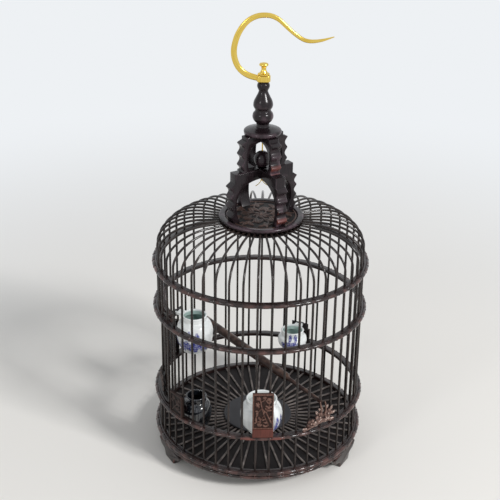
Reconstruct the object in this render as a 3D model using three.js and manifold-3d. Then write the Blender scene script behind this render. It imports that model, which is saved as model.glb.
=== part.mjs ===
// A round Chinese hardwood birdcage: 48 bent rods held by beaded hoops, a slatted floor on three
// bracket feet, a carved crown with a loose bead, a brass swivel hook, four feeding jars, a perch
// and a sliding door. Millimetres, +Z up, the front of the cage faces -Y, the floor is z = 0.
// Azimuth is counted in degrees from the front towards +X.

import * as THREE from 'three';
import { mergeVertices } from 'three/addons/utils/BufferGeometryUtils.js';
import Module from 'manifold-3d';

const wasm = await Module();
wasm.setup();

const DEG = Math.PI / 180;

// Driving dimensions: wall
const FIT = 0.3; // gap left between pieces that touch
const ROD_COUNT = 48;
const RODS_PER_GROUP = 4;
const ROD_CIRCLE_R = 134.5;
const ROD_R = 1.5;
const ROD_SIDES = 5;
const FIRST_ROD_AZIMUTH = -0.9;
const HOOP_OUTER_WIDTH = 7.5; // from the rod circle out to the crest of the beads
const HOOP_INNER_WIDTH = 3.2; // and in to the hoop's plain edge
const HOOP_CREST_R = ROD_CIRCLE_R + HOOP_OUTER_WIDTH;
const HOOP_INNER_R = ROD_CIRCLE_R - HOOP_INNER_WIDTH;
const HOOP_HEIGHT = 5.6;
const BEAD_GROOVE = 1.7; // depth of the joint between two beads
const SKIRT_HEIGHT = 48.7; // base ring to the lowest hoop
const DOOR_BAND_HEIGHT = 119.8; // lowest hoop to the middle hoop
const UPPER_BAND_HEIGHT = 58.1; // middle hoop to the shoulder hoop
const SHOULDER_RISE = 17.9; // shoulder hoop to the start of the bend
const DOME_RISE = 35.3;
const DOME_RUN_WIDTH = 59.5; // how far in the bend reaches before the ribs run level
const DOME_FLAT_R = ROD_CIRCLE_R - DOME_RUN_WIDTH;
const DOME_STEPS = 4;

// Driving dimensions: base
const FOOT_HEIGHT = 20;
const FOOT_WIDTH = 62;
const FOOT_SOLE_WIDTH = 24;
const FOOT_INSET_WIDTH = 15.5; // from the crest of the hoops in to the foot's back
const FOOT_INNER_R = HOOP_CREST_R - FOOT_INSET_WIDTH;
const FOOT_THICKNESS = 11;
const FOOT_CURL_WIDTH = 8; // how far the toe's side reaches out before it turns up
const FOOT_WAIST_HEIGHT = 10; // height of that turn
const FOOT_LEAN_WIDTH = 5; // how far the flank leans in under the ring
const FOOT_AZIMUTHS = { foot_front_left: -60, foot_front_right: 60, foot_back: 180 };
const LOWER_RING_HEIGHT = 6.1;
const LOWER_RING_STEP_WIDTH = 2; // how far its beads stand in from those above
const LOWER_RING_WIDTH = 18;
const LOWER_RING_CREST_R = HOOP_CREST_R - LOWER_RING_STEP_WIDTH;
const LOWER_RING_INNER_R = LOWER_RING_CREST_R - LOWER_RING_WIDTH;
const BASE_RING_HEIGHT = 6.5;
const BOARD_THICKNESS = 2.4;
const SLAT_WIDTH = 2.4;
const SLAT_THICKNESS = 2;
const SLAT_HUB_R = 32;
const FLOOR_DISC_R = 47;
const FLOOR_DISC_THICKNESS = 2.2;

// Driving dimensions: top plate and crown
const PLATE_R = 54.7;
const PLATE_FLANGE = 4.4;
const PLATE_HOLE_R = 29;
const PLATE_ROLL = 1.4; // rounding of the rim's edges
const RECESS_R = 46.5;
const RECESS_DEPTH = 3;
const RIB_ARC_INNER_R = 49.6;
const RIB_ARC_WIDTH = 3.8;
const RIB_ARC_HALF_HEIGHT = 1.2;
const CLAMP_HEIGHT = 3;
const CLAMP_INNER_R = 35;
const CLAMP_OUTER_R = 54;
const MEDALLION_THICKNESS = 2.6;
const PETAL_COUNT = 8;
// Pierced holes of the medallion: radius from the axis, degrees from the petal's middle
const PETAL_HOLE = [[10, 0], [17, -13], [25, -10], [28, 0], [25, 10], [17, 13]];
const BORDER_HOLE = [[33, -5], [41, -4], [42, 0], [41, 4], [33, 5]];
const CROWN_TURN = 33; // degrees that the crossed boards are turned from the X axis
const CROWN_BOARD = 14;
const STEPS_PER_SCALLOP = 4;
const LEG_STEPS = 3;
const ARCH_STEPS = 5;
const ARCH_POWER = 0.8; // 1 makes the arch an ellipse, less makes its shoulders squarer
// archHalf: half width of the opening at archMiddle, its widest place; archFoot: half width at the floor
// hollow: how far in from the axis a scallop reaches; cusp: how far the points stand out past it
// top: from the highest point up to the tier's top; ledge: the slope above that point
const LOWER_TIER = {
  height: 66.7, archHalf: 41, archFoot: 35, archMiddle: 22, archRise: 54.5, foot: 3.5, top: 17.5, ledge: 4.5,
  hollow: 45.5, cusp: 5, scallops: 3.5, footR: 44, topR: 43.5,
};
const UPPER_TIER = {
  height: 44.7, archHalf: 25, archFoot: 21, archMiddle: 12, archRise: 36.5, foot: 1.5, top: 7.5, ledge: 3,
  hollow: 29.5, cusp: 5, scallops: 2.5, footR: 32, topR: 27,
};
const BEAD_R = 10.75;
const WIRE_R = 0.8;
const WIRE_HOLE_R = 1.3;
const WIRE_TAIL = 6; // how far the wire shows under the lower arch
const WIRE_SOCKET = 5; // how far it goes up into the upper boards
// Turned profiles: radius and height above the piece's own foot
const COLLAR_PROFILE = [[20.8, 0], [23.2, 1.6], [23.8, 4], [23, 6.2], [20.3, 7.2], [13.1, 8], [10, 8.7]];
const FINIAL_PROFILE = [
  [8.7, 0], [8.2, 5], [11.6, 8.5], [13.3, 13.2], [12, 17.6], [9.9, 20.4], [10.4, 23], [12.3, 28.6],
  [11.2, 33.6], [8.4, 39], [6.8, 44.8], [7, 48.2], [7.9, 51.6], [7.1, 55.2], [5.6, 56.7],
];

// Driving dimensions: hook
const EYE_LENGTH = 17;
const EYE_DEPTH = 12;
const EYE_HEIGHT = 8.5;
const PIN_R = 2.3;
const PIN_CLEARANCE = 0.4;
const PIN_SEAT = 12; // how deep the pin goes into the finial
const KNOB_FLANGE_R = 7.4;
const KNOB_HEAD_R = 5.6;
const KNOB_HEIGHT = 15;
const HOOK_THICKNESS = 5;
const HOOK_BEVEL = 1.1; // rounding across the bar's thickness
const HOOK_EDGE = 0.45; // and across its width

// Driving dimensions: door on the left side of the wall
const DOOR_GROUP = 9;
const DOOR_INSET_WIDTH = 6.9;
const DOOR_CIRCLE_R = ROD_CIRCLE_R - DOOR_INSET_WIDTH;
const DOOR_RAIL_WIDTH = 5.6;
const DOOR_RAIL_HEIGHT = 5.4;
const DOOR_TOP_RAIL_HEIGHT = 3.6;
const DOOR_STILE_INSET = 0.25; // share of a rod pitch between a stile and the fixed rod beside it
const DOOR_TOP_GAP = 3;
const SILL_HEIGHT = 2;
const DOOR_CARVING_GAP = 0.6; // flat back of the carving to the curved rail's crown

// Driving dimensions: feeding jars, their brackets and plaques
const JAR_WALL = 2;
const JAR_WALL_GAP = 5.5; // jar to the rods
const JARS = {
  front: { azimuth: 2.85, z: 75.6, height: 46, bodyR: 27.5, neckR: 19.5, footR: 19, neck: 9 },
  left: { azimuth: -49.65, z: 57.6, height: 47, bodyR: 20.5, neckR: 13.5, footR: 14, neck: 9 },
  back_left: { azimuth: -117.15, z: 108.6, height: 54, bodyR: 26, neckR: 17, footR: 18, neck: 9 },
  back_right: { azimuth: 152.85, z: 87.4, height: 28, bodyR: 21, neckR: 15.8, footR: 14, neck: 9 },
};
const EAR_WIDTH = 11;
const EAR_HEIGHT = 4.4;
const EAR_RISE = 4; // shoulder to the underside of the ear
const EAR_WALL = 1.1;
const TONGUE_WIDTH = 6;
const TONGUE_THICKNESS = 1.4;
const TONGUE_HEIGHT = 6;
const TONGUE_SLACK = 0.3; // all round, in the ear's slot
const LIFT_CLEARANCE = 0.4; // jar's belly to the arm as the jar is lifted past it
const ARM_HEIGHT = 3;
const BRACKET_WIDTH = 26;
const BRACKET_HEIGHT = 9;
const BRACKET_THICKNESS = 1.6;
const PEG_WIDTH = 8;
const PLAQUE_FRONT = { width: 26.5, height: 51.5, thickness: 4.4 };
const PLAQUE_BASE = { width: PLAQUE_FRONT.width, height: 11.8, thickness: 5.2 };
const PLAQUE_SIDE = { width: 25, thickness: 4.4 };
const PLAQUE_SIDE_HEIGHTS = { left: 30, back_left: 52, back_right: 14.6 };
const PLAQUE_MARGIN = 3;
const PLAQUE_SUNK = 1.2;

// Driving dimensions: perch and its carved sprays
const PERCH_ROD = 5; // the perch straddles this rod and the one opposite
const PERCH_Z = 122.8;
const PERCH_R = 5.8;
const PERCH_NECK_R = 2.8;
const PERCH_SHOULDER = 64; // distance of the step from the axis
const SPRAY_THICKNESS = 3.2;
const SPRAY_FLOWERS = [[-17, 8, 8], [-3, 13, 9], [11, 15, 7.5]]; // sideways, up from the hoop, radius
const SPRAY_TWIG = [[-30, 0], [20, 0], [23, 7], [12, 10], [-4, 8], [-20, 6], [-31, 4]];
const SPRAY_PRONGS = [[-1, 16, -3, 38], [5, 15, 4.5, 36]];
const SPRAY_PRONG_WIDTH = 3.4;

// Heights that follow from the sizes above
const PITCH = 360 / ROD_COUNT;
const ROD_HOLE = ROD_R + FIT;
const LOWER_RING_Z = FOOT_HEIGHT + FIT;
const BASE_RING_Z = LOWER_RING_Z + LOWER_RING_HEIGHT + FIT;
const BASE_TOP = BASE_RING_Z + BASE_RING_HEIGHT;
const HOOP_C_Z = BASE_TOP + SKIRT_HEIGHT;
const HOOP_C_TOP = HOOP_C_Z + HOOP_HEIGHT;
const HOOP_B_Z = HOOP_C_TOP + DOOR_BAND_HEIGHT;
const HOOP_B_TOP = HOOP_B_Z + HOOP_HEIGHT;
const HOOP_A_Z = HOOP_B_TOP + UPPER_BAND_HEIGHT;
const BEND_Z = HOOP_A_Z + HOOP_HEIGHT + SHOULDER_RISE;
const DOME_TOP = BEND_Z + DOME_RISE;
const FLANGE_Z = DOME_TOP + ROD_R + FIT;
const PLATE_TOP = FLANGE_Z + PLATE_FLANGE;
const RECESS_Z = PLATE_TOP - RECESS_DEPTH;
const LOWER_TIER_Z = RECESS_Z + FIT;
const LOWER_TIER_TOP = LOWER_TIER_Z + LOWER_TIER.height;
const UPPER_TIER_Z = LOWER_TIER_TOP + FIT;
const UPPER_TIER_TOP = UPPER_TIER_Z + UPPER_TIER.height;
const COLLAR_Z = UPPER_TIER_TOP + FIT;
const FINIAL_Z = COLLAR_Z + COLLAR_PROFILE.at(-1)[1] + FIT;
const FINIAL_TOP = FINIAL_Z + FINIAL_PROFILE.at(-1)[1];
const EYE_Z = FINIAL_TOP + FIT;
const KNOB_Z = EYE_Z + EYE_HEIGHT + FIT;
const ROD_OUTER_R = ROD_CIRCLE_R + ROD_R;
const ROD_INNER_R = ROD_CIRCLE_R - ROD_R;
const OUTSIDE_R = ROD_OUTER_R + FIT; // inner face of what sits outside the rods

// Finishes
const FINISH = {
  hardwood: { color: 0x2a1c1a, roughness: 0.38, metalness: 0 },
  rod: { color: 0x3b302c, roughness: 0.42, metalness: 0 },
  rosewood: { color: 0x4e2a24, roughness: 0.4, metalness: 0 },
  carving: { color: 0x7d4f41, roughness: 0.5, metalness: 0 },
  floor: { color: 0x2e2b2b, roughness: 0.6, metalness: 0 },
  brass: { color: 0xd9b23c, roughness: 0.2, metalness: 1 },
  porcelain: { color: 0xf2f5f4, roughness: 0.15, metalness: 0 },
  darkGlaze: { color: 0x1e2023, roughness: 0.08, metalness: 0 },
};

const cage = new THREE.Group();

// Adds one named piece, turned about the cage's axis
function add(name, shape, finish, azimuth = 0) {
  const geometry = shape.isBufferGeometry ? shape : toGeometry(shape);
  const mesh = new THREE.Mesh(geometry, new THREE.MeshStandardMaterial(FINISH[finish]));
  mesh.name = name;
  mesh.rotation.z = azimuth * DEG;
  cage.add(mesh);
}

// A closed geometry as a solid that can be joined and cut
function toSolid(geometry) {
  const bare = geometry.clone();
  bare.deleteAttribute('normal');
  bare.deleteAttribute('uv');
  const merged = mergeVertices(bare, 1e-4);
  const corners = merged.index.array;
  const kept = [];
  for (let i = 0; i < corners.length; i += 3) {
    const [a, b, c] = [corners[i], corners[i + 1], corners[i + 2]];
    if (a !== b && b !== c && c !== a) kept.push(a, b, c);
  }
  return new wasm.Manifold(new wasm.Mesh({
    numProp: 3,
    vertProperties: new Float32Array(merged.attributes.position.array),
    triVerts: new Uint32Array(kept),
  }));
}

function toGeometry(solid) {
  const mesh = solid.getMesh();
  const geometry = new THREE.BufferGeometry();
  geometry.setAttribute('position', new THREE.BufferAttribute(mesh.vertProperties, 3));
  geometry.setIndex(new THREE.BufferAttribute(mesh.triVerts, 1));
  return geometry;
}

function join(geometries) {
  return geometries.map(toSolid).reduce((whole, next) => whole.add(next));
}

// A point on the wall's plan at a radius and an azimuth in degrees
function onPlan(radius, azimuth) {
  return new THREE.Vector2(radius * Math.sin(azimuth * DEG), -radius * Math.cos(azimuth * DEG));
}

function rodAzimuth(index) {
  return FIRST_ROD_AZIMUTH + index * PITCH;
}

// A plan outline raised between two heights
function raise(shape, low, high) {
  const geometry = new THREE.ExtrudeGeometry(shape, { depth: high - low, bevelEnabled: false });
  return geometry.translate(0, 0, low);
}

// An outline drawn as seen from the front (sideways, up), thickened from one radius out to another
function frontPlate(shape, innerR, outerR) {
  const geometry = new THREE.ExtrudeGeometry(shape, { depth: outerR - innerR, bevelEnabled: false });
  return geometry.rotateX(Math.PI / 2).translate(0, -innerR, 0);
}

function outline(points) {
  return new THREE.Shape(points.map(([x, y]) => new THREE.Vector2(x, y)));
}

// A block given by its lowest and highest corners
function block(low, high) {
  const size = high.map((value, i) => value - low[i]);
  const geometry = new THREE.BoxGeometry(...size);
  return geometry.translate(...low.map((value, i) => value + size[i] / 2));
}

// A turned form: pairs of radius and height, from the bottom of the outside upwards
function turned(profile, segments) {
  const points = profile.map(([radius, height]) => new THREE.Vector2(radius, height));
  return new THREE.LatheGeometry(points, segments).rotateX(Math.PI / 2);
}

function upright(radius, low, high, sides, x = 0, y = 0) {
  const geometry = new THREE.CylinderGeometry(radius, radius, high - low, sides);
  return geometry.rotateX(Math.PI / 2).translate(x, y, (low + high) / 2);
}

// A sector of a flat ring, centred on the front
function arcBar(innerR, outerR, halfAngle, steps) {
  const points = [];
  for (let i = 0; i <= steps; i += 1) points.push(onPlan(outerR, halfAngle * (2 * i / steps - 1)));
  for (let i = steps; i >= 0; i -= 1) points.push(onPlan(innerR, halfAngle * (2 * i / steps - 1)));
  return new THREE.Shape(points);
}

// A square drilling for a rod, its corners on the radius and across it
function rodHole(radius, azimuth, half) {
  const spread = half / radius / DEG;
  return new THREE.Path([
    onPlan(radius - half, azimuth - spread),
    onPlan(radius - half, azimuth + spread),
    onPlan(radius + half, azimuth + spread),
    onPlan(radius + half, azimuth - spread),
  ]);
}

// Plan of a hoop: a string of beads outside, one from each rod to the next, and a plain inner edge
function beadedRing(crestR, innerR) {
  const outer = [];
  const inner = [];
  for (let i = 0; i < ROD_COUNT; i += 1) {
    const azimuth = rodAzimuth(i);
    outer.push(onPlan(crestR - BEAD_GROOVE, azimuth));
    outer.push(onPlan(crestR, azimuth + PITCH / 2));
    inner.push(onPlan(innerR, azimuth));
  }
  const shape = new THREE.Shape(outer);
  shape.holes.push(new THREE.Path(inner));
  return shape;
}

function hoop(z, height) {
  const shape = beadedRing(HOOP_CREST_R, HOOP_INNER_R);
  for (let i = 0; i < ROD_COUNT; i += 1) {
    shape.holes.push(rodHole(ROD_CIRCLE_R, rodAzimuth(i), ROD_HOLE));
  }
  return raise(shape, z, z + height);
}

// A bent rod's centreline as straight stretches between stations, one extrusion step each
class RodLine extends THREE.Curve {
  constructor(stations) {
    super();
    this.stations = stations;
  }

  getPoint(t, target = new THREE.Vector3()) {
    const last = this.stations.length - 1;
    const place = Math.min(Math.max(t, 0), 1) * last;
    const index = Math.min(Math.floor(place), last - 1);
    return target.copy(this.stations[index]).lerp(this.stations[index + 1], place - index);
  }

  getPointAt(u, target) {
    return this.getPoint(u, target);
  }

  getTangentAt(u, target) {
    return this.getTangent(u, target);
  }
}

function polygon(radius, sides) {
  const points = [];
  for (let i = 0; i < sides; i += 1) {
    const angle = 2 * Math.PI * i / sides;
    points.push(new THREE.Vector2(radius * Math.cos(angle), radius * Math.sin(angle)));
  }
  return new THREE.Shape(points);
}

// One rod at the front of the cage: up the wall, over the shoulder in a quarter ellipse, level to the plate
function bentRod(bottom) {
  const stations = [new THREE.Vector3(0, -ROD_CIRCLE_R, bottom)];
  for (let i = 0; i <= DOME_STEPS; i += 1) {
    const angle = Math.PI / 2 * i / DOME_STEPS;
    const radius = DOME_FLAT_R + (ROD_CIRCLE_R - DOME_FLAT_R) * Math.cos(angle);
    stations.push(new THREE.Vector3(0, -radius, BEND_Z + DOME_RISE * Math.sin(angle)));
  }
  stations.push(new THREE.Vector3(0, -(RIB_ARC_INNER_R + RIB_ARC_WIDTH / 2), DOME_TOP));
  const extrudePath = new RodLine(stations);
  return new THREE.ExtrudeGeometry(polygon(ROD_R, ROD_SIDES), { steps: stations.length - 1, extrudePath });
}

// Offsets in degrees of a group's rods from the group's middle
function groupOffsets() {
  return Array.from({ length: RODS_PER_GROUP }, (_, i) => (i - (RODS_PER_GROUP - 1) / 2) * PITCH);
}

function groupAzimuth(group) {
  return rodAzimuth(group * RODS_PER_GROUP + (RODS_PER_GROUP - 1) / 2);
}

// Neighbouring ribs end in one short curved block under the top plate's flange
function rodGroup(bottom) {
  const rods = groupOffsets().map((offset) => bentRod(bottom).rotateZ(offset * DEG));
  const halfAngle = RODS_PER_GROUP * PITCH / 2 - 0.5;
  const arc = raise(
    arcBar(RIB_ARC_INNER_R, RIB_ARC_INNER_R + RIB_ARC_WIDTH, halfAngle, 4),
    DOME_TOP - RIB_ARC_HALF_HEIGHT,
    DOME_TOP + RIB_ARC_HALF_HEIGHT,
  );
  return join([...rods, arc]);
}

function buildWall() {
  add('hoop_shoulder', hoop(HOOP_A_Z, HOOP_HEIGHT), 'hardwood');
  add('hoop_middle', hoop(HOOP_B_Z, HOOP_HEIGHT), 'hardwood');
  add('hoop_low', hoop(HOOP_C_Z, HOOP_HEIGHT), 'hardwood');
  for (let group = 0; group < ROD_COUNT / RODS_PER_GROUP; group += 1) {
    const overDoor = group === DOOR_GROUP;
    const name = `rods_${String(group + 1).padStart(2, '0')}`;
    const bottom = overDoor ? HOOP_B_Z : BASE_RING_Z;
    add(overDoor ? `${name}_upper` : name, rodGroup(bottom), 'rod', groupAzimuth(group));
  }
}

// A bracket foot: broad under the ring, drawn in by two hollows to a flat sole
function foot() {
  const [top, sole] = [FOOT_WIDTH / 2, FOOT_SOLE_WIDTH / 2];
  const curl = sole + FOOT_CURL_WIDTH;
  const lean = top - FOOT_LEAN_WIDTH;
  const shape = new THREE.Shape();
  shape.moveTo(-sole, 0);
  shape.lineTo(sole, 0);
  shape.quadraticCurveTo(sole, FOOT_WAIST_HEIGHT, curl, FOOT_WAIST_HEIGHT);
  shape.quadraticCurveTo(lean, FOOT_WAIST_HEIGHT, top, FOOT_HEIGHT);
  shape.lineTo(-top, FOOT_HEIGHT);
  shape.quadraticCurveTo(-lean, FOOT_WAIST_HEIGHT, -curl, FOOT_WAIST_HEIGHT);
  shape.quadraticCurveTo(-sole, FOOT_WAIST_HEIGHT, -sole, 0);
  const depth = FOOT_THICKNESS;
  const geometry = new THREE.ExtrudeGeometry(shape, { depth, bevelEnabled: false, curveSegments: 4 });
  return geometry.rotateX(Math.PI / 2).translate(0, -FOOT_INNER_R, 0);
}

function slats() {
  const points = [];
  const reach = HOOP_INNER_R - FIT;
  for (let i = 0; i < ROD_COUNT; i += 1) {
    const azimuth = rodAzimuth(i);
    const atHub = SLAT_WIDTH / 2 / SLAT_HUB_R / DEG;
    const atRing = SLAT_WIDTH / 2 / reach / DEG;
    points.push(onPlan(SLAT_HUB_R, azimuth - atHub), onPlan(reach, azimuth - atRing));
    points.push(onPlan(reach, azimuth + atRing), onPlan(SLAT_HUB_R, azimuth + atHub));
  }
  return new THREE.Shape(points);
}

function buildBase() {
  for (const [name, azimuth] of Object.entries(FOOT_AZIMUTHS)) add(name, foot(), 'hardwood', azimuth);
  const lower = beadedRing(LOWER_RING_CREST_R, LOWER_RING_INNER_R);
  add('base_ring_lower', raise(lower, LOWER_RING_Z, LOWER_RING_Z + LOWER_RING_HEIGHT), 'hardwood');
  add('base_ring_upper', hoop(BASE_RING_Z, BASE_RING_HEIGHT), 'hardwood');
  const boardTop = BASE_RING_Z + BOARD_THICKNESS;
  add('bottom_board', upright(HOOP_INNER_R - FIT, BASE_RING_Z, boardTop, ROD_COUNT), 'floor');
  const slatZ = boardTop + FIT;
  add('floor_slats', raise(slats(), slatZ, slatZ + SLAT_THICKNESS), 'rod');
  const discZ = slatZ + SLAT_THICKNESS + FIT;
  add('floor_disc', upright(FLOOR_DISC_R, discZ, discZ + FLOOR_DISC_THICKNESS, 36), 'floor');
}

// The top plate: a ring with a raised rim, rebated underneath for the ribs' ends
function topPlate() {
  const rebateR = RIB_ARC_INNER_R - FIT;
  const hubZ = DOME_TOP - ROD_R;
  return turned([
    [PLATE_HOLE_R, hubZ],
    [rebateR, hubZ],
    [rebateR, FLANGE_Z],
    [PLATE_R - PLATE_ROLL, FLANGE_Z],
    [PLATE_R, FLANGE_Z + PLATE_ROLL],
    [PLATE_R, PLATE_TOP - PLATE_ROLL],
    [PLATE_R - PLATE_ROLL, PLATE_TOP],
    [RECESS_R + PLATE_ROLL, PLATE_TOP],
    [RECESS_R, PLATE_TOP - PLATE_ROLL],
    [RECESS_R, RECESS_Z],
    [PLATE_HOLE_R, RECESS_Z],
    [PLATE_HOLE_R, hubZ],
  ], 32);
}

// The ring below that holds the ribs' ends up against the flange
function clampRing() {
  const high = DOME_TOP - ROD_R - FIT;
  const low = high - CLAMP_HEIGHT;
  return turned([
    [CLAMP_INNER_R, low],
    [CLAMP_OUTER_R - PLATE_ROLL, low],
    [CLAMP_OUTER_R, high],
    [CLAMP_INNER_R, high],
    [CLAMP_INNER_R, low],
  ], 28);
}

// A pierced flower in the recess, cut away where the crown's four feet stand
function medallion() {
  const disc = new THREE.Shape();
  disc.absarc(0, 0, RECESS_R - FIT, 0, 2 * Math.PI);
  for (let i = 0; i < PETAL_COUNT; i += 1) {
    const middle = 360 * (i + 0.5) / PETAL_COUNT + CROWN_TURN;
    for (const hole of [PETAL_HOLE, BORDER_HOLE]) {
      disc.holes.push(new THREE.Path(hole.map(([radius, turn]) => onPlan(radius, middle + turn))));
    }
  }
  const depth = MEDALLION_THICKNESS;
  const plate = new THREE.ExtrudeGeometry(disc, { depth, bevelEnabled: false, curveSegments: 36 });
  let solid = toSolid(plate.translate(0, 0, RECESS_Z + FIT));
  for (let i = 0; i < 4; i += 1) {
    const half = CROWN_BOARD / 2 + FIT;
    const footprint = block(
      [LOWER_TIER.archFoot - 2 * FIT, -half, RECESS_Z],
      [RECESS_R + 1, half, PLATE_TOP + 1],
    ).rotateZ((CROWN_TURN + 90 * i) * DEG);
    solid = solid.subtract(toSolid(footprint));
  }
  return solid;
}

// Half outline of a crown board's outer edge: a foot, a row of scallops that meet in points and a plain top
function scallopedEdge(tier, z) {
  const low = z + tier.foot;
  const points = [[tier.footR, z], [tier.footR, low - FIT]];
  const high = z + tier.height - tier.top;
  const steps = Math.round(tier.scallops * STEPS_PER_SCALLOP);
  for (let i = 0; i <= steps; i += 1) {
    const place = tier.scallops * (1 - i / steps);
    const reach = tier.hollow + tier.cusp * (1 - Math.abs(Math.sin(Math.PI * place)));
    points.push([reach, low + (high - low) * i / steps]);
  }
  points.push([tier.topR, high + tier.ledge], [tier.topR, z + tier.height]);
  return points;
}

// Half of the opening's line, from the foot up: the leg leans out as a parabola, then the arch closes in
function archEdge(tier, z) {
  const points = [];
  for (let i = 0; i < LEG_STEPS; i += 1) {
    const down = 1 - i / LEG_STEPS;
    const reach = tier.archHalf - (tier.archHalf - tier.archFoot) * down ** 2;
    points.push([reach, z + tier.archMiddle * (1 - down)]);
  }
  for (let i = 0; i < ARCH_STEPS; i += 1) {
    const angle = Math.PI / 2 * i / ARCH_STEPS;
    const rise = (tier.archRise - tier.archMiddle) * Math.sin(angle) ** ARCH_POWER;
    points.push([tier.archHalf * Math.cos(angle) ** ARCH_POWER, z + tier.archMiddle + rise]);
  }
  points.push([0, z + tier.archRise]);
  return points;
}

// A crown board: scalloped outside, an arch inside, standing on its two legs
function crownBoard(tier, z) {
  const right = scallopedEdge(tier, z);
  const left = right.map(([x, y]) => [-x, y]).reverse();
  const archRight = archEdge(tier, z);
  const archLeft = archRight.slice(0, -1).map(([x, y]) => [-x, y]);
  const arch = [...archLeft, ...archRight.reverse()];
  const geometry = frontPlate(outline([...right, ...left, ...arch]), 0, CROWN_BOARD);
  return toSolid(geometry.translate(0, CROWN_BOARD / 2, 0));
}

// Two boards halved into each other, with a hole down the middle for the bead's wire
function crossedBoards(name, tier, z, holeLow, holeHigh) {
  const half = CROWN_BOARD / 2 + FIT;
  const middle = z + (tier.archRise + tier.height) / 2;
  const wireHole = toSolid(upright(WIRE_HOLE_R, holeLow, holeHigh, 6));
  const above = block([-half, -half - 1, middle - FIT / 2], [half, half + 1, z + tier.height + 1]);
  const below = block([-half, -half - 1, z - 1], [half, half + 1, middle + FIT / 2]);
  const first = crownBoard(tier, z).subtract(toSolid(above)).subtract(wireHole);
  const second = crownBoard(tier, z).subtract(toSolid(below)).subtract(wireHole);
  add(`${name}_a`, first, 'hardwood', CROWN_TURN);
  add(`${name}_b`, second, 'hardwood', CROWN_TURN + 90);
}

function beadSolid() {
  const z = UPPER_TIER_Z + FIT + BEAD_R;
  const profile = [];
  const steps = 8;
  const start = Math.asin(WIRE_HOLE_R / BEAD_R);
  for (let i = 0; i <= steps; i += 1) {
    const angle = start + (Math.PI - 2 * start) * i / steps;
    profile.push([BEAD_R * Math.sin(angle), z - BEAD_R * Math.cos(angle)]);
  }
  profile.push(profile[0]);
  return turned(profile, 12);
}

function collar() {
  const outside = COLLAR_PROFILE.map(([radius, height]) => [radius, COLLAR_Z + height]);
  return turned([[0, COLLAR_Z], ...outside, [0, outside.at(-1)[1]]], 20);
}

// Turned finial: neck, ball, waist, bulb, slim neck and a bead on top, bored for the hook's pin
function finial() {
  const boreR = PIN_R + FIT;
  const bore = FINIAL_TOP - PIN_SEAT;
  const outside = FINIAL_PROFILE.map(([radius, height]) => [radius, FINIAL_Z + height]);
  return turned([[0, FINIAL_Z], ...outside, [boreR, FINIAL_TOP], [boreR, bore], [0, bore]], 16);
}

function buildCrown() {
  add('top_plate', topPlate(), 'hardwood');
  add('clamp_ring', clampRing(), 'hardwood');
  add('medallion', medallion(), 'carving');
  const lowerCrossing = LOWER_TIER_Z + LOWER_TIER.archRise;
  const upperCrossing = UPPER_TIER_Z + UPPER_TIER.archRise;
  crossedBoards('lower_arch', LOWER_TIER, LOWER_TIER_Z, lowerCrossing - 2, LOWER_TIER_TOP + 2);
  crossedBoards('upper_arch', UPPER_TIER, UPPER_TIER_Z, upperCrossing - 2, upperCrossing + WIRE_SOCKET + FIT);
  add('bead_wire', upright(WIRE_R, lowerCrossing - WIRE_TAIL, upperCrossing + WIRE_SOCKET, 8), 'brass');
  add('crown_bead', beadSolid(), 'rosewood');
  add('collar', collar(), 'hardwood');
  add('finial', finial(), 'hardwood');
}

// Centreline of the hook (sideways, up from the top of the finial) and its width there
const HOOK_LINE = [
  [-6, 4.6, 7], [-17, 7.6, 7.4], [-25.5, 12.3, 7.2], [-32, 19.8, 7.2], [-35.7, 29.7, 7.4], [-36.5, 39.6, 7.4],
  [-34.8, 49.4, 7.3], [-31.3, 59.3, 7.2], [-25.4, 69, 6.9], [-18, 76.3, 6.6], [-8.7, 80.8, 6.4], [1, 82, 6.2],
  [9.4, 80.8, 5.9], [17.8, 76.5, 5.6], [26.2, 69, 5.3], [34.6, 61.6, 5.1], [43, 55.5, 4.9], [49, 52.4, 4.7],
  [56.3, 51.2, 4.4], [64.7, 51.8, 3.8], [73, 53.6, 2.8], [84, 57.1, 1],
];

function hook() {
  const middle = new THREE.CatmullRomCurve3(HOOK_LINE.map(([x, z]) => new THREE.Vector3(x, 0, z)));
  const width = new THREE.CatmullRomCurve3(HOOK_LINE.map(([, , w], i) => new THREE.Vector3(i, w, 0)));
  const steps = 26;
  const [one, other] = [[], []];
  for (let i = 0; i <= steps; i += 1) {
    const point = middle.getPoint(i / steps);
    const along = middle.getTangent(i / steps);
    const half = width.getPoint(i / steps).y / 2 - HOOK_EDGE;
    one.push([point.x - along.z * half, FINIAL_TOP + point.z + along.x * half]);
    other.unshift([point.x + along.z * half, FINIAL_TOP + point.z - along.x * half]);
  }
  const bar = new THREE.ExtrudeGeometry(outline([...other, ...one].reverse()), {
    depth: HOOK_THICKNESS - 2 * HOOK_BEVEL,
    bevelThickness: HOOK_BEVEL,
    bevelSize: HOOK_EDGE,
    bevelSegments: 1,
  }).rotateX(Math.PI / 2).translate(0, HOOK_THICKNESS / 2 - HOOK_BEVEL, 0);
  const eye = block(
    [-EYE_LENGTH / 2, -EYE_DEPTH / 2, EYE_Z],
    [EYE_LENGTH / 2, EYE_DEPTH / 2, EYE_Z + EYE_HEIGHT],
  );
  const hole = upright(PIN_R + PIN_CLEARANCE, EYE_Z - 1, EYE_Z + EYE_HEIGHT + 1, 16);
  return toSolid(bar).add(toSolid(eye)).subtract(toSolid(hole));
}

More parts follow.
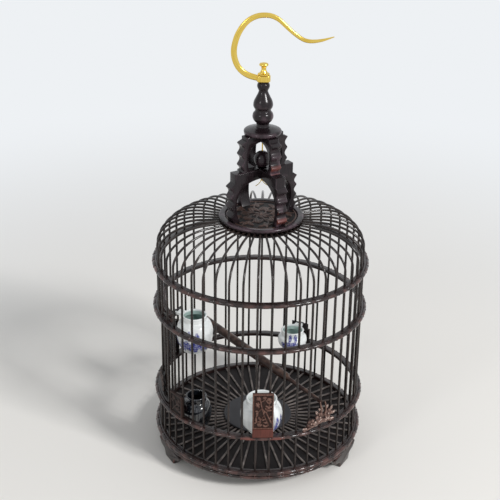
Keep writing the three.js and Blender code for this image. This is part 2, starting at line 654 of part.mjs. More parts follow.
// The brass pin that the hook swivels on, with its flange and mushroom head
function hookPin() {
  const head = KNOB_Z + KNOB_HEIGHT;
  return turned([
    [0, FINIAL_TOP - PIN_SEAT + FIT],
    [PIN_R, FINIAL_TOP - PIN_SEAT + FIT],
    [PIN_R, KNOB_Z],
    [KNOB_FLANGE_R, KNOB_Z],
    [KNOB_FLANGE_R, KNOB_Z + 2],
    [KNOB_FLANGE_R * 0.55, KNOB_Z + 3],
    [KNOB_FLANGE_R * 0.45, head - 5.4],
    [KNOB_HEAD_R, head - 3.6],
    [KNOB_HEAD_R, head - 2],
    [KNOB_HEAD_R * 0.6, head - 0.4],
    [0, head],
  ], 16);
}

function buildHook() {
  add('hook', hook(), 'brass');
  add('hook_pin', hookPin(), 'brass');
}

const DOOR_RAIL_INNER_R = DOOR_CIRCLE_R - DOOR_RAIL_WIDTH / 2;
const DOOR_RAIL_OUTER_R = DOOR_CIRCLE_R + DOOR_RAIL_WIDTH / 2;
const SILL_TOP = HOOP_C_TOP + FIT + SILL_HEIGHT;
const DOOR_Z = SILL_TOP + FIT;
const HEADER_TOP = HOOP_B_TOP;
const DOOR_TOP_RAIL_Z = HEADER_TOP + DOOR_TOP_GAP;

// Door rods stand in line with the missing wall rods, with a stile at each side
function doorOffsets() {
  const stile = (RODS_PER_GROUP + 1) / 2 * PITCH - DOOR_STILE_INSET * PITCH;
  return [-stile, ...groupOffsets(), stile];
}

const DOOR_HALF_ANGLE = Math.max(...doorOffsets()) + 1.1;

// The bottom rail with the upright rods, which run up through the header
function doorGrille() {
  const rail = raise(
    arcBar(DOOR_RAIL_INNER_R, DOOR_RAIL_OUTER_R, DOOR_HALF_ANGLE, 8),
    DOOR_Z,
    DOOR_Z + DOOR_RAIL_HEIGHT,
  );
  const [low, high] = [DOOR_Z + DOOR_RAIL_HEIGHT / 2, DOOR_TOP_RAIL_Z + DOOR_TOP_RAIL_HEIGHT / 2];
  const rods = doorOffsets().map((offset) => {
    const place = onPlan(DOOR_CIRCLE_R, offset);
    return upright(ROD_R, low, high, 6, place.x, place.y);
  });
  return join([rail, ...rods]);
}

// A curved rail drilled for the door rods
function drilledRail(low, high) {
  const shape = arcBar(DOOR_RAIL_INNER_R, DOOR_RAIL_OUTER_R, DOOR_HALF_ANGLE, 8);
  for (const offset of doorOffsets()) shape.holes.push(rodHole(DOOR_CIRCLE_R, offset, ROD_HOLE));
  return raise(shape, low, high);
}

// The sill on the low hoop, with the short rods that fill the wall below the door
function doorSill() {
  const halfAngle = (RODS_PER_GROUP + 1) / 2 * PITCH - (ROD_HOLE + FIT) / ROD_CIRCLE_R / DEG;
  const bar = raise(arcBar(DOOR_RAIL_INNER_R, ROD_OUTER_R, halfAngle, 8), HOOP_C_TOP + FIT, SILL_TOP);
  const rods = groupOffsets().map((offset) => {
    const place = onPlan(ROD_CIRCLE_R, offset);
    return upright(ROD_R, BASE_RING_Z, SILL_TOP - SILL_HEIGHT / 2, ROD_SIDES, place.x, place.y);
  });
  return join([bar, ...rods]);
}

function buildDoor() {
  const azimuth = groupAzimuth(DOOR_GROUP);
  add('door_sill', doorSill(), 'rod', azimuth);
  add('door_header', drilledRail(HOOP_B_Z, HEADER_TOP), 'hardwood', azimuth);
  add('door_grille', doorGrille(), 'rod', azimuth);
  const railTop = DOOR_TOP_RAIL_Z + DOOR_TOP_RAIL_HEIGHT;
  add('door_top_rail', drilledRail(DOOR_TOP_RAIL_Z, railTop), 'hardwood', azimuth);
  add('door_carving', spray(DOOR_RAIL_OUTER_R + DOOR_CARVING_GAP, DOOR_Z, []), 'carving', azimuth);
}

// A jar's outside from foot to lip, and back down inside at the wall's thickness
function jarProfile(jar) {
  const { height, bodyR, neckR, footR, neck } = jar;
  const shoulder = height - neck;
  const outside = [
    [footR, 0], [footR + 1, 2],
    [footR + (bodyR - footR) * 0.72, shoulder * 0.26],
    [bodyR - 0.4, shoulder * 0.56], [bodyR - 0.4, shoulder * 0.72],
    [(bodyR + neckR) / 2 + 1, shoulder * 0.94],
    [neckR, shoulder + 1], [neckR, height - 2],
    [neckR + 0.8, height - 1], [neckR + 0.4, height],
  ];
  const inside = outside.slice(2, -2).map(([r, h]) => [r - JAR_WALL, Math.max(h, JAR_WALL + 1)]).reverse();
  return [[0, 0], ...outside, [neckR - JAR_WALL, height], ...inside, [0, JAR_WALL + 1]];
}

function jarCentreR(jar) {
  return ROD_INNER_R - JAR_WALL_GAP - jar.bodyR;
}

function earZ(jar) {
  return jar.z + jar.height - jar.neck + EAR_RISE;
}

const BRACKET_OUTER_R = ROD_INNER_R - FIT;
const BRACKET_INNER_R = BRACKET_OUTER_R - BRACKET_THICKNESS;

// The arm and tongue stay outside the jar's belly, so that the jar can be lifted straight up off them
const TONGUE_INNER_R = ROD_INNER_R - JAR_WALL_GAP + LIFT_CLEARANCE;
const TONGUE_OUTER_R = TONGUE_INNER_R + TONGUE_THICKNESS;

// The jar with the ear at its neck that hangs on the bracket's tongue
function jarSolid(jar) {
  const body = toSolid(turned(jarProfile(jar), 16).translate(0, -jarCentreR(jar), jar.z));
  const z = earZ(jar);
  const halfSlot = TONGUE_WIDTH / 2 + TONGUE_SLACK;
  const slotOuterR = TONGUE_OUTER_R + TONGUE_SLACK;
  const slotInnerR = TONGUE_INNER_R - TONGUE_SLACK;
  const ear = block(
    [-EAR_WIDTH / 2, -slotOuterR - EAR_WALL, z],
    [EAR_WIDTH / 2, -(jarCentreR(jar) + jar.neckR - JAR_WALL / 2), z + EAR_HEIGHT],
  );
  const slot = block([-halfSlot, -slotOuterR, z - 1], [halfSlot, -slotInnerR, z + EAR_HEIGHT + 1]);
  return body.add(toSolid(ear)).subtract(toSolid(slot));
}

// The wooden bracket inside the rods: a cross plate, an arm with an upright tongue, and a peg to the plaque
function bracket(jar) {
  const z = earZ(jar) - FIT;
  const plate = block(
    [-BRACKET_WIDTH / 2, -BRACKET_OUTER_R, z - BRACKET_HEIGHT / 2],
    [BRACKET_WIDTH / 2, -BRACKET_INNER_R, z + BRACKET_HEIGHT / 2],
  );
  const arm = block(
    [-TONGUE_WIDTH / 2, -BRACKET_INNER_R - 1, z - ARM_HEIGHT],
    [TONGUE_WIDTH / 2, -TONGUE_INNER_R, z],
  );
  const tongue = block(
    [-TONGUE_WIDTH / 2, -TONGUE_OUTER_R, z - ARM_HEIGHT / 2],
    [TONGUE_WIDTH / 2, -TONGUE_INNER_R, z + TONGUE_HEIGHT],
  );
  const peg = block(
    [-PEG_WIDTH / 2, -ROD_OUTER_R, z - BRACKET_HEIGHT / 2 + 1],
    [PEG_WIDTH / 2, -BRACKET_OUTER_R + 1, z + BRACKET_HEIGHT / 2 - 1],
  );
  return join([plate, arm, tongue, peg]);
}

// A plaque outside the rods with a sunk field inside a plain margin
function plaque(size, low) {
  const half = size.width / 2;
  const high = low + size.height;
  const board = block([-half, -OUTSIDE_R - size.thickness, low], [half, -OUTSIDE_R, high]);
  const field = block(
    [-half + PLAQUE_MARGIN, -OUTSIDE_R - size.thickness - 1, low + PLAQUE_MARGIN],
    [half - PLAQUE_MARGIN, -OUTSIDE_R - size.thickness + PLAQUE_SUNK, high - PLAQUE_MARGIN],
  );
  return toSolid(board).subtract(toSolid(field));
}

function buildJars() {
  for (const [name, jar] of Object.entries(JARS)) {
    add(`jar_${name}`, jarSolid(jar), name === 'left' ? 'darkGlaze' : 'porcelain', jar.azimuth);
    add(`bracket_${name}`, bracket(jar), 'hardwood', jar.azimuth);
    const low = HOOP_C_TOP + FIT;
    if (name === 'front') {
      const base = PLAQUE_BASE;
      const half = base.width / 2;
      const ledge = block([-half, -OUTSIDE_R - base.thickness, low], [half, -OUTSIDE_R, low + base.height]);
      add('plaque_front_base', ledge, 'rosewood', jar.azimuth);
      add('plaque_front', plaque(PLAQUE_FRONT, low + base.height + FIT), 'carving', jar.azimuth);
    } else {
      const size = { ...PLAQUE_SIDE, height: PLAQUE_SIDE_HEIGHTS[name] };
      add(`plaque_${name}`, plaque(size, low), 'carving', jar.azimuth);
    }
  }
}

// The perch: a round bar with a slim neck at one end, each end slotted over a rod
function perch() {
  const bar = new THREE.CylinderGeometry(PERCH_R, PERCH_R, ROD_OUTER_R + PERCH_SHOULDER, 12);
  bar.translate(0, (ROD_OUTER_R - PERCH_SHOULDER) / 2, PERCH_Z);
  const neck = new THREE.CylinderGeometry(PERCH_NECK_R, PERCH_NECK_R, ROD_OUTER_R - PERCH_SHOULDER + 2, 10);
  neck.translate(0, -(ROD_OUTER_R + PERCH_SHOULDER - 2) / 2, PERCH_Z);
  let solid = toSolid(bar).add(toSolid(neck));
  for (const side of [-1, 1]) {
    const slotEnd = side * (ROD_CIRCLE_R - ROD_HOLE);
    const slotMouth = side * (ROD_OUTER_R + 2);
    const [low, high] = [Math.min(slotEnd, slotMouth), Math.max(slotEnd, slotMouth)];
    const slot = block([-ROD_HOLE, low, PERCH_Z - PERCH_R - 1], [ROD_HOLE, high, PERCH_Z + PERCH_R + 1]);
    solid = solid.subtract(toSolid(slot));
  }
  return solid;
}

function flower(x, z, radius) {
  const points = [];
  const petals = 5;
  for (let i = 0; i < petals * 3; i += 1) {
    const angle = 2 * Math.PI * i / (petals * 3);
    const reach = i % 3 === 0 ? radius * 0.72 : radius;
    points.push([x + reach * Math.sin(angle), z + reach * Math.cos(angle)]);
  }
  return outline(points.reverse());
}

// A carved spray of blossom, flat at the back, with prongs that rise to a perch end
function spray(innerR, z, prongs) {
  const thickness = [innerR, innerR + SPRAY_THICKNESS];
  const pieces = [frontPlate(outline(SPRAY_TWIG.map(([x, up]) => [x, z + up])), ...thickness)];
  for (const [x, up, radius] of SPRAY_FLOWERS) {
    pieces.push(frontPlate(flower(x, z + up, radius), ...thickness));
  }
  for (const [x, up, tipX, tipUp] of prongs) {
    const half = SPRAY_PRONG_WIDTH / 2;
    const foot = [[x - half, z + up], [x + half, z + up]];
    const tip = [[tipX + half / 2, z + tipUp], [tipX - half / 2, z + tipUp]];
    pieces.push(frontPlate(outline([...foot, ...tip]), ...thickness));
  }
  return join(pieces);
}

function buildPerch() {
  const azimuth = rodAzimuth(PERCH_ROD);
  add('perch', perch(), 'rosewood', azimuth);
  const low = HOOP_C_TOP + FIT;
  add('spray_front', spray(OUTSIDE_R, low, SPRAY_PRONGS), 'carving', azimuth);
  add('spray_back', spray(OUTSIDE_R, low, SPRAY_PRONGS), 'carving', azimuth + 180);
}

buildBase();
buildWall();
buildCrown();
buildHook();
buildDoor();
buildJars();
buildPerch();

export default cage;
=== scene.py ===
# %% [markdown]
# # A hardwood birdcage
# This lesson dresses the plain solids of a round songbird cage: bent rods, beaded hoops, a carved crown,
# a brass hook, porcelain feeders and a carved perch end. The solids give every place and size, so each
# new piece is drawn where its solid stands and then takes its place. All lengths are metres, +Z is up,
# and the front of the cage faces -Y. An azimuth is counted from the front towards +X.

# %% Load the solids
import math

import bmesh
import bpy
import numpy as np
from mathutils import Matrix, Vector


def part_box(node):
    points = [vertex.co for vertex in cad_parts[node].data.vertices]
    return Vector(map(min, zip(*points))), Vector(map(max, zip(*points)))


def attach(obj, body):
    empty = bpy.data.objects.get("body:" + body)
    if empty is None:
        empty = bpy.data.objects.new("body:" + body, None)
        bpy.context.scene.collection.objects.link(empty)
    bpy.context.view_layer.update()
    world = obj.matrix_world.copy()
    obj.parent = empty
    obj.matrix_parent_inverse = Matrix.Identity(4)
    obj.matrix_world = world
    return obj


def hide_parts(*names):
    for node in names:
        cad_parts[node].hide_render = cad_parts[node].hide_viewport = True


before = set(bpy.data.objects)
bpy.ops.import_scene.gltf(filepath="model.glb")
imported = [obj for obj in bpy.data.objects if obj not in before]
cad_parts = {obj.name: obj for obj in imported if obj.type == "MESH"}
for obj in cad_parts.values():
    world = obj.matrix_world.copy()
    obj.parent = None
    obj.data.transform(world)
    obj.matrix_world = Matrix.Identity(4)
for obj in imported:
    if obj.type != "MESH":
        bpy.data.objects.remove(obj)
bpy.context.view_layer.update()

# %% [markdown]
# The sizes that many pieces share are set out once. The heights come from the solids themselves, so that
# a hoop or a plate is never drawn beside the place where its solid stands.

# %% Shared sizes
MM = 0.001
ROD_COUNT = 48
PITCH = 2 * math.pi / ROD_COUNT
FIRST_ROD = math.radians(-0.9)
ROD_CIRCLE = 134.5 * MM
ROD_RADIUS = 1.5 * MM
OUTSIDE = 136.3 * MM  # back of what stands outside the rods
DOME_RISE = 35.3 * MM
DOME_FLAT = 75 * MM  # radius where the bend ends and the ribs run level
RIB_END = 51.5 * MM
SAME_POINT = 1e-6  # metres, below which two points are one
# Degrees from the front; each jar has a plaque outside the rods at the same place
AZIMUTHS = {"front": 2.85, "left": -49.65, "back_left": -117.15, "back_right": 152.85}
DOME_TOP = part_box("top_plate")[0].z + ROD_RADIUS
BEND_START = DOME_TOP - DOME_RISE


def span(node):
    """Lowest and highest z of a solid."""
    low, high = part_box(node)
    return low.z, high.z


print("bend starts at", round(BEND_START, 4), "and ends at", round(DOME_TOP, 4))

# %% [markdown]
# ## The camera
# The hoops are circles, so their ellipses in the photograph give the camera: a little above the cage,
# looking down by about 25 degrees, with the lens of a short telephoto.

# %% Camera
CAMERA_PLACE = (0.0, -1.3143, 0.8944)
CAMERA_PITCH = math.radians(24.90)
CAMERA_YAW = math.radians(-0.60)
CAMERA_ROLL = math.radians(0.786)
CAMERA_LENS = 79.75


def camera_axes(pitch, yaw, roll):
    """Right, up and back of the camera: forward is (sin yaw cos pitch, cos yaw cos pitch, -sin pitch)."""
    level = math.cos(pitch)
    forward = np.array([math.sin(yaw) * level, math.cos(yaw) * level, -math.sin(pitch)])
    right = np.array([math.cos(yaw), -math.sin(yaw), 0])
    up = np.cross(right, forward)
    turned_right = right * math.cos(roll) + up * math.sin(roll)
    turned_up = up * math.cos(roll) - right * math.sin(roll)
    return np.stack([turned_right, turned_up, -forward], -1)


def placed(name, data):
    """A new object for a mesh, a lamp or a camera, put into the scene."""
    made = bpy.data.objects.new(name, data)
    bpy.context.scene.collection.objects.link(made)
    return made


def aim(made, axes):
    """Turns an object so that its x, y and z run along the three columns."""
    made.rotation_mode = "QUATERNION"
    made.rotation_quaternion = Matrix(axes.tolist()).to_quaternion()


camera = placed("camera", bpy.data.cameras.new("camera"))
camera.data.lens = CAMERA_LENS
camera.data.clip_start = 0.05
camera.location = CAMERA_PLACE
aim(camera, camera_axes(CAMERA_PITCH, CAMERA_YAW, CAMERA_ROLL))
bpy.context.scene.camera = camera
print("camera at", CAMERA_PLACE)

# %% [markdown]
# ## Helpers for shapes
# Every new piece is a surface on a grid: points worked out as whole arrays, and quads between neighbouring
# points. A part is kept as a small dictionary: its points, its faces, a grain coordinate that runs along
# the wood, and a wear value that says where hands and polish have rubbed it or how high a carving stands.

# %% Grids, welding and pieces
def at(radius, azimuth, height):
    """x = radius sin(azimuth), y = -radius cos(azimuth), z = height."""
    radius, azimuth, height = np.broadcast_arrays(radius, azimuth, height)
    return np.stack([radius * np.sin(azimuth), -radius * np.cos(azimuth), height], -1)


def around(count):
    """Angles of points spread evenly round a circle."""
    return 2 * np.pi * np.arange(count) / count


def grid_faces(rows, columns, wrap_rows=False, wrap_columns=False, capped=False):
    """Quads between neighbouring grid points; a wrapped direction joins its last line to its first, and
    caps close the first and last row with one face each."""
    r = np.arange(rows if wrap_rows else rows - 1)
    c = np.arange(columns if wrap_columns else columns - 1)
    r, c = (a.ravel() for a in np.meshgrid(r, c, indexing="ij"))
    next_r, next_c = (r + 1) % rows, (c + 1) % columns
    corners = [r * columns + c, next_r * columns + c, next_r * columns + next_c, r * columns + next_c]
    faces = np.stack(corners, -1).tolist()
    if capped:
        faces += [list(range(columns)), list(range(rows * columns - 1, (rows - 1) * columns - 1, -1))]
    return faces


def part(points, faces, grain=None, wear=0.0):
    """One closed shell: points flattened to rows, with grain (three values) and wear (one) for each."""
    wear = np.broadcast_to(wear, np.shape(points)[:-1]).ravel()
    points = np.asarray(points, float).reshape(-1, 3)
    grain = points if grain is None else np.asarray(grain, float).reshape(-1, 3)
    return {"points": points, "faces": faces, "grain": grain, "wear": wear}


def turn(shape, azimuth):
    """Turns a part about the cage's axis, from the front to an azimuth."""
    c, s = math.cos(azimuth), math.sin(azimuth)
    matrix = np.array([[c, -s, 0], [s, c, 0], [0, 0, 1]])
    return {**shape, "points": shape["points"] @ matrix.T}


def shift(shape, offset):
    return {**shape, "points": shape["points"] + np.asarray(offset)}


def piece(name, parts, finish, node=None, body="root", sharp=38):
    """Joins parts into one mesh object, welds points closer than a micron and turns its faces outward. The
    object rides on its body, stands for its solid and takes the material slot of its finish."""
    mesh = bpy.data.meshes.new(name)
    counts = np.cumsum([0] + [len(p["points"]) for p in parts])
    faces = [[i + first for i in face] for p, first in zip(parts, counts) for face in p["faces"]]
    mesh.from_pydata(np.concatenate([p["points"] for p in parts]).tolist(), [], faces)
    grain = mesh.attributes.new("grain", "FLOAT_VECTOR", "POINT")
    grain.data.foreach_set("vector", np.concatenate([p["grain"] for p in parts]).astype(np.float32).ravel())
    wear = mesh.attributes.new("wear", "FLOAT", "POINT")
    wear.data.foreach_set("value", np.concatenate([p["wear"] for p in parts]).astype(np.float32))
    shell = bmesh.new()
    shell.from_mesh(mesh)
    bmesh.ops.remove_doubles(shell, verts=shell.verts, dist=SAME_POINT)
    bmesh.ops.recalc_face_normals(shell, faces=shell.faces)
    shell.to_mesh(mesh)
    shell.free()
    mesh.shade_smooth()
    mesh.set_sharp_from_angle(angle=math.radians(sharp))
    mesh.materials.append(finish)
    made = placed(name, mesh)
    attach(made, body)
    if node:
        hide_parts(node)
    print(name, len(mesh.vertices), "points")


# %% [markdown]
# Three ways of making a shape cover most of the cage: a section swept along a path, a profile turned
# round the axis, and a flat outline with rounded edges. A smooth line through a few chosen points feeds
# all three.

# %% Sweeps, turned shapes and slabs
def through(points, per_span=6):
    """Catmull-Rom line: each span is a cubic whose ends point along the neighbouring chords."""
    p = np.asarray(points, float)
    p = np.concatenate([[2 * p[0] - p[1]], p, [2 * p[-1] - p[-2]]])
    t = np.arange(per_span)[:, None, None] / per_span
    a, b, c, d = p[:-3], p[1:-2], p[2:-1], p[3:]
    cubic = b + t * (c - a) / 2 + t**2 * (a - 2.5 * b + 2 * c - d / 2) + t**3 * (1.5 * (b - c) + (d - a) / 2)
    return np.concatenate([cubic.transpose(1, 0, 2).reshape(-1, p.shape[1]), p[-2:-1]])


def unit(vectors):
    return vectors / np.linalg.norm(vectors, axis=-1, keepdims=True)


def sweep(path, side, section, closed=False, wear=0.0):
    """Carries a section along a path: point = path + first value x across + second value x side, where
    across is the cross product of the path's direction and the side vector."""
    path = np.asarray(path, float)
    side = np.broadcast_to(np.asarray(side, float), path.shape)
    if closed:
        direction = np.roll(path, -1, 0) - np.roll(path, 1, 0)
    else:
        direction = np.gradient(path, axis=0)
    across = unit(np.cross(direction, side))
    section = np.broadcast_to(section, (len(path), *np.shape(section)[-2:]))
    grid = path[:, None] + section[..., :1] * across[:, None] + section[..., 1:] * side[:, None]
    steps = np.linalg.norm(np.diff(path, axis=0), axis=-1)
    along = np.concatenate([[0], np.cumsum(steps)])
    grain = np.concatenate([section, np.broadcast_to(along[:, None, None], (*section.shape[:2], 1))], -1)
    return part(grid, grid_faces(*section.shape[:2], closed, True, not closed), grain, wear)


def circle(radius, sides=12):
    """Section of a round stick; one radius for each path point, or one for all."""
    angle = around(sides)
    ring = np.stack([np.cos(angle), np.sin(angle)], -1)
    return np.asarray(radius, float).reshape(-1, 1, 1) * ring


def cushion(half_width, half_height, power=6, sides=24):
    """Rounded rectangle: |x / half width|^power + |y / half height|^power = 1."""
    angle = around(sides)
    c, s = np.cos(angle), np.sin(angle)
    reach = (np.abs(c / half_width) ** power + np.abs(s / half_height) ** power) ** (-1 / power)
    return np.stack([reach * c, reach * s], -1)


def lathe(profile, segments=96, wear=0.0):
    """Turns (radius, height) pairs round the axis; wear is one value, or one for each pair."""
    profile = np.asarray(profile, float)
    grid = at(profile[None, :, 0], around(segments)[:, None], profile[None, :, 1])
    return part(grid, grid_faces(segments, len(profile), True), None, wear)


def drawn_in(outline):
    """Gives the function that moves each point of a smooth outline inward along its own normal."""
    outline = np.asarray(outline, float)
    edge = unit(np.roll(outline, -1, 0) - outline)
    mean = unit(edge + np.roll(edge, 1, 0))
    normal = np.stack([mean[:, 1], -mean[:, 0]], -1)
    return lambda inset: outline - inset * normal


def slab(outline_at, thickness, rounding, layers=5):
    """An outline (sideways, up) given thickness along y. Near each face it is drawn in by
    rounding x (1 - sin a) while the depth goes by rounding x (1 - cos a), a = 0 to 90 degrees."""
    a = np.linspace(0, np.pi / 2, layers)
    inset = rounding * (1 - np.sin(a))
    depth = -thickness / 2 + rounding * (1 - np.cos(a))
    depth = np.concatenate([depth, -depth[::-1]])
    flat = np.array([outline_at(i) for i in np.concatenate([inset, inset[::-1]])])
    grid = np.stack([flat[..., 0], np.broadcast_to(depth[:, None], flat.shape[:2]), flat[..., 1]], -1)
    # Wear peaks halfway round each rounded edge: rubbing of the edges, which in the blackwood of the crown is
    # also a painted highlight along them
    rub = np.concatenate([np.sin(2 * a), np.sin(2 * a)[::-1]])
    return part(grid, grid_faces(*flat.shape[:2], False, True, True), None, rub[:, None])


def softened(node, width):
    """A copy of a solid with its loose triangles merged, its flat faces made whole and its edges rounded."""
    shell = bmesh.new()
    shell.from_mesh(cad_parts[node].data)
    bmesh.ops.remove_doubles(shell, verts=shell.verts, dist=SAME_POINT)
    flat, corner = math.radians(4), math.radians(30)
    bmesh.ops.dissolve_limit(shell, angle_limit=flat, verts=shell.verts, edges=shell.edges)
    sharp = [e for e in shell.edges if len(e.link_faces) == 2 and e.calc_face_angle() > corner]
    bmesh.ops.bevel(shell, geom=sharp, offset=width, segments=2, affect="EDGES", profile=0.5,
                    clamp_overlap=True)
    shell.verts.index_update()
    points = np.array([v.co for v in shell.verts])
    faces = [[v.index for v in f.verts] for f in shell.faces]
    shell.free()
    return part(points, faces)


print("helpers ready")

# %% [markdown]
# ## Finishes
# One function turns a written colour to linear light, and one adds a node. Each finish then says what the
# real one is, how it was made and what that gives the eye.

# %% Colour and nodes
def colour(code):
    """sRGB hex to linear: c/12.92 below 0.04045, otherwise ((c + 0.055) / 1.055)^2.4."""
    c = np.array([int(code[i:i + 2], 16) for i in (1, 3, 5)]) / 255
    linear = np.where(c <= 0.04045, c / 12.92, ((c + 0.055) / 1.055) ** 2.4)
    return (*linear.tolist(), 1.0)


def add(tree, kind, inputs=None, ramp=None, **settings):
    """Adds a node, sets its properties, fills its inputs by name or number, and sets a colour ramp."""
    made = tree.nodes.new(kind)
    for key, value in settings.items():
        setattr(made, key, value)
    for key, value in (inputs or {}).items():
        if isinstance(value, bpy.types.NodeSocket):
            tree.links.new(value, made.inputs[key])
        else:
            made.inputs[key].default_value = value
    if ramp:
        while len(made.color_ramp.elements) < len(ramp):
            made.color_ramp.elements.new(0.5)
        for element, (place, code) in zip(made.color_ramp.elements, ramp):
            element.position = place
            element.color = colour(code)
    return made


def new_material(name):
    material = bpy.data.materials.new(name)
    material.use_nodes = True
    material.node_tree.nodes.clear()
    return material, material.node_tree


def noise(tree, vector, cell, detail, roughness=0.5):
    """Noise whose cells are of the given size in metres."""
    made = add(tree, "ShaderNodeTexNoise",
               {"Vector": vector, "Scale": 1 / cell, "Detail": detail, "Roughness": roughness})
    return made.outputs[0]


def object_noise(tree, cell, detail):
    return noise(tree, add(tree, "ShaderNodeTexCoord").outputs["Object"], cell, detail)


def drawn_noise(tree, stretch, cell, detail, roughness=0.5):
    """Noise drawn out along the wood or the buffing, by the third number of the grain."""
    grain = add(tree, "ShaderNodeAttribute", attribute_name="grain").outputs["Vector"]
    squeezed = add(tree, "ShaderNodeMapping", {"Vector": grain, "Scale": (1, 1, 1 / stretch)})
    return noise(tree, squeezed.outputs[0], cell, detail, roughness)


def remap(tree, value, low, high, first, last, **settings):
    """Values from low to high become first to last, and stay there beyond."""
    made = add(tree, "ShaderNodeMapRange", {0: value, 1: low, 2: high, 3: first, 4: last}, **settings)
    return made.outputs[0]


def mix(tree, share, base, code):
    return add(tree, "ShaderNodeMix", {0: share, 6: base, 7: colour(code)}, data_type="RGBA").outputs[2]


def combine(tree, operation, first, second, use_clamp=False):
    made = add(tree, "ShaderNodeMath", {0: first, 1: second}, operation=operation, use_clamp=use_clamp)
    return made.outputs[0]


def wear_of(tree):
    return add(tree, "ShaderNodeAttribute", attribute_name="wear").outputs["Fac"]


def raised(tree, strength, distance, height):
    return add(tree, "ShaderNodeBump",
               {"Strength": strength, "Distance": distance, "Height": height}).outputs[0]


def surface(tree, inputs):
    shader = add(tree, "ShaderNodeBsdfPrincipled", inputs)
    add(tree, "ShaderNodeOutputMaterial", {0: shader.outputs[0]})


print("cobalt is", [round(v, 3) for v in colour("#3a3f9a")])

# %% [markdown]
# ### Woods
# All the wood is dense, oily rosewood, scraped, waxed and rubbed bright by hand, so it is nearly black in
# the hollows and shows red-brown where polish and fingers have worn the high places; on the blackwood and
# the perch the lighter colour of the high places is partly that wear and partly a painted highlight. Fine
# pores run along the grain. The pores of such wood are 0.1 to 0.2 mm wide, too fine for this picture, so
# the streaks are drawn 0.8 mm wide and 20 mm long.

# %% Wood finishes
STREAK = 0.8 * MM
PATCH = 14 * MM
BARE_WOOD = "#6e3a31"
STREAK_RANGE = (0.3, 0.7)  # where nearly all of the streaked noise lies


def wood(name, dark, light, worn, wear_share, roughness, coat, stretch=25.0):
    """Streaked noise along the grain runs from dark to light; wear times a patchy noise mixes in the worn
    colour (rubbing, and on the blackwood and the perch also a painted highlight), and wear above 1 the bare
    red wood; the same streaks lift the surface and vary the gloss."""
    material, tree = new_material(name)
    streaks = drawn_noise(tree, stretch, STREAK, 3.0, 0.6)
    ramp = list(zip(STREAK_RANGE, (dark, light)))
    base = add(tree, "ShaderNodeValToRGB", {0: streaks}, ramp).outputs[0]
    patchy = remap(tree, object_noise(tree, PATCH, 2.0), 0.42, 0.62, 0.0, wear_share)
    rub = wear_of(tree)
    waxed = mix(tree, combine(tree, "MULTIPLY", rub, patchy, True), base, worn)
    surface(tree, {
        "Base Color": mix(tree, remap(tree, rub, 1.0, 2.0, 0.0, 1.0), waxed, BARE_WOOD),
        "Roughness": remap(tree, streaks, *STREAK_RANGE, roughness * 0.8, roughness * 1.25),
        "Normal": raised(tree, 0.25, 0.1 * MM, streaks),
        "IOR": 1.45, "Specular IOR Level": 0.22, "Coat Weight": coat, "Coat Roughness": 0.14})
    return material


# Blackwood, turned or scraped and waxed: deep, slightly purple, with bright soft highlights; its rubbed rims,
# bulges, edges and points turn grey-lilac, partly wear and partly a painted highlight
blackwood = wood("waxed_blackwood", "#0d090b", "#21171b", "#5a4850", 0.85, 0.26, 0.25)
# The hoops are the same wood with more handling, so their beads are redder on the crests
hoop_wood = wood("rubbed_hoop_wood", "#120b0b", "#2b1d1b", "#6b4a44", 0.75, 0.26, 0.5)
# Drawn rods: split, pulled through a drawplate and waxed, satin, with pale scraped streaks
rod_wood = wood("drawn_rod_wood", "#110c0b", "#241c1a", "#62554f", 0.25, 0.22, 0.4)
# Polished rosewood of the perch: lighter along the top, partly wear where the bird sits and partly a painted
# highlight along the top
perch_wood = wood("perch_rosewood", "#1c100d", "#3b241d", "#84695b", 0.45, 0.34, 0.12)
# Plain reddish block under the tall plaque
block_wood = wood("red_rosewood", "#48251f", "#663830", "#87564c", 0.4, 0.42, 0.1)
# Boards of the floor: matt and almost black
floor_wood = wood("near_black_floor_wood", "#0f0c0c", "#1d1818", "#2e2828", 0.3, 0.6, 0.0)
# The disc over the middle of the floor is lacquered dark grey, satin
disc_lacquer = wood("grey_disc_lacquer", "#2f2f32", "#3c3b3e", "#4c4b4e", 0.4, 0.45, 0.1, 4.0)
# Slats of the floor: the same rods planed flat; their pale grey is painted light, for the light that their
# upper sides catch
slats_painted_light = wood("planed_slats_painted_light", "#3b3432", "#665d59", "#9a918c", 0.7, 0.42, 0.05)
print("woods:", len(bpy.data.materials))

# %% [markdown]
# ### Carved wood
# The carvings are cut in a lighter rosewood, stained so that the stain stays in the cuts, and then rubbed
# back. The wear value holds the height of the carving here, and a ramp from dark cuts to pale tops does
# what the stain and the cloth did, and also paints shade into the cuts and highlights onto the tops.

# %% Carved finishes
def carved(name, ramp, roughness):
    """Height of the carving, with a little noise, picks the colour: stain and painted shade low, painted
    highlight high; low places are also duller.
    """
    material, tree = new_material(name)
    grit = object_noise(tree, 1.6 * MM, 3.0)
    level = combine(tree, "ADD", wear_of(tree), remap(tree, grit, 0.3, 0.7, -0.14, 0.14), True)
    surface(tree, {
        "Base Color": add(tree, "ShaderNodeValToRGB", {0: level}, ramp).outputs[0],
        "Roughness": remap(tree, level, 0.0, 1.0, roughness * 1.5, roughness * 0.9),
        "Normal": raised(tree, 0.3, 0.15 * MM, grit),
        "IOR": 1.45, "Specular IOR Level": 0.25, "Coat Weight": 0.08, "Coat Roughness": 0.25})
    return material


plaque_wood = carved("carved_plaque_wood",
                     [(0.0, "#150b08"), (0.3, "#39211a"), (0.65, "#61433a"), (1.0, "#a08274")], 0.42)
spray_wood = carved("carved_spray_wood",
                    [(0.0, "#100807"), (0.5, "#36211b"), (0.8, "#7e6359"), (1.0, "#d9c6bc")], 0.36)
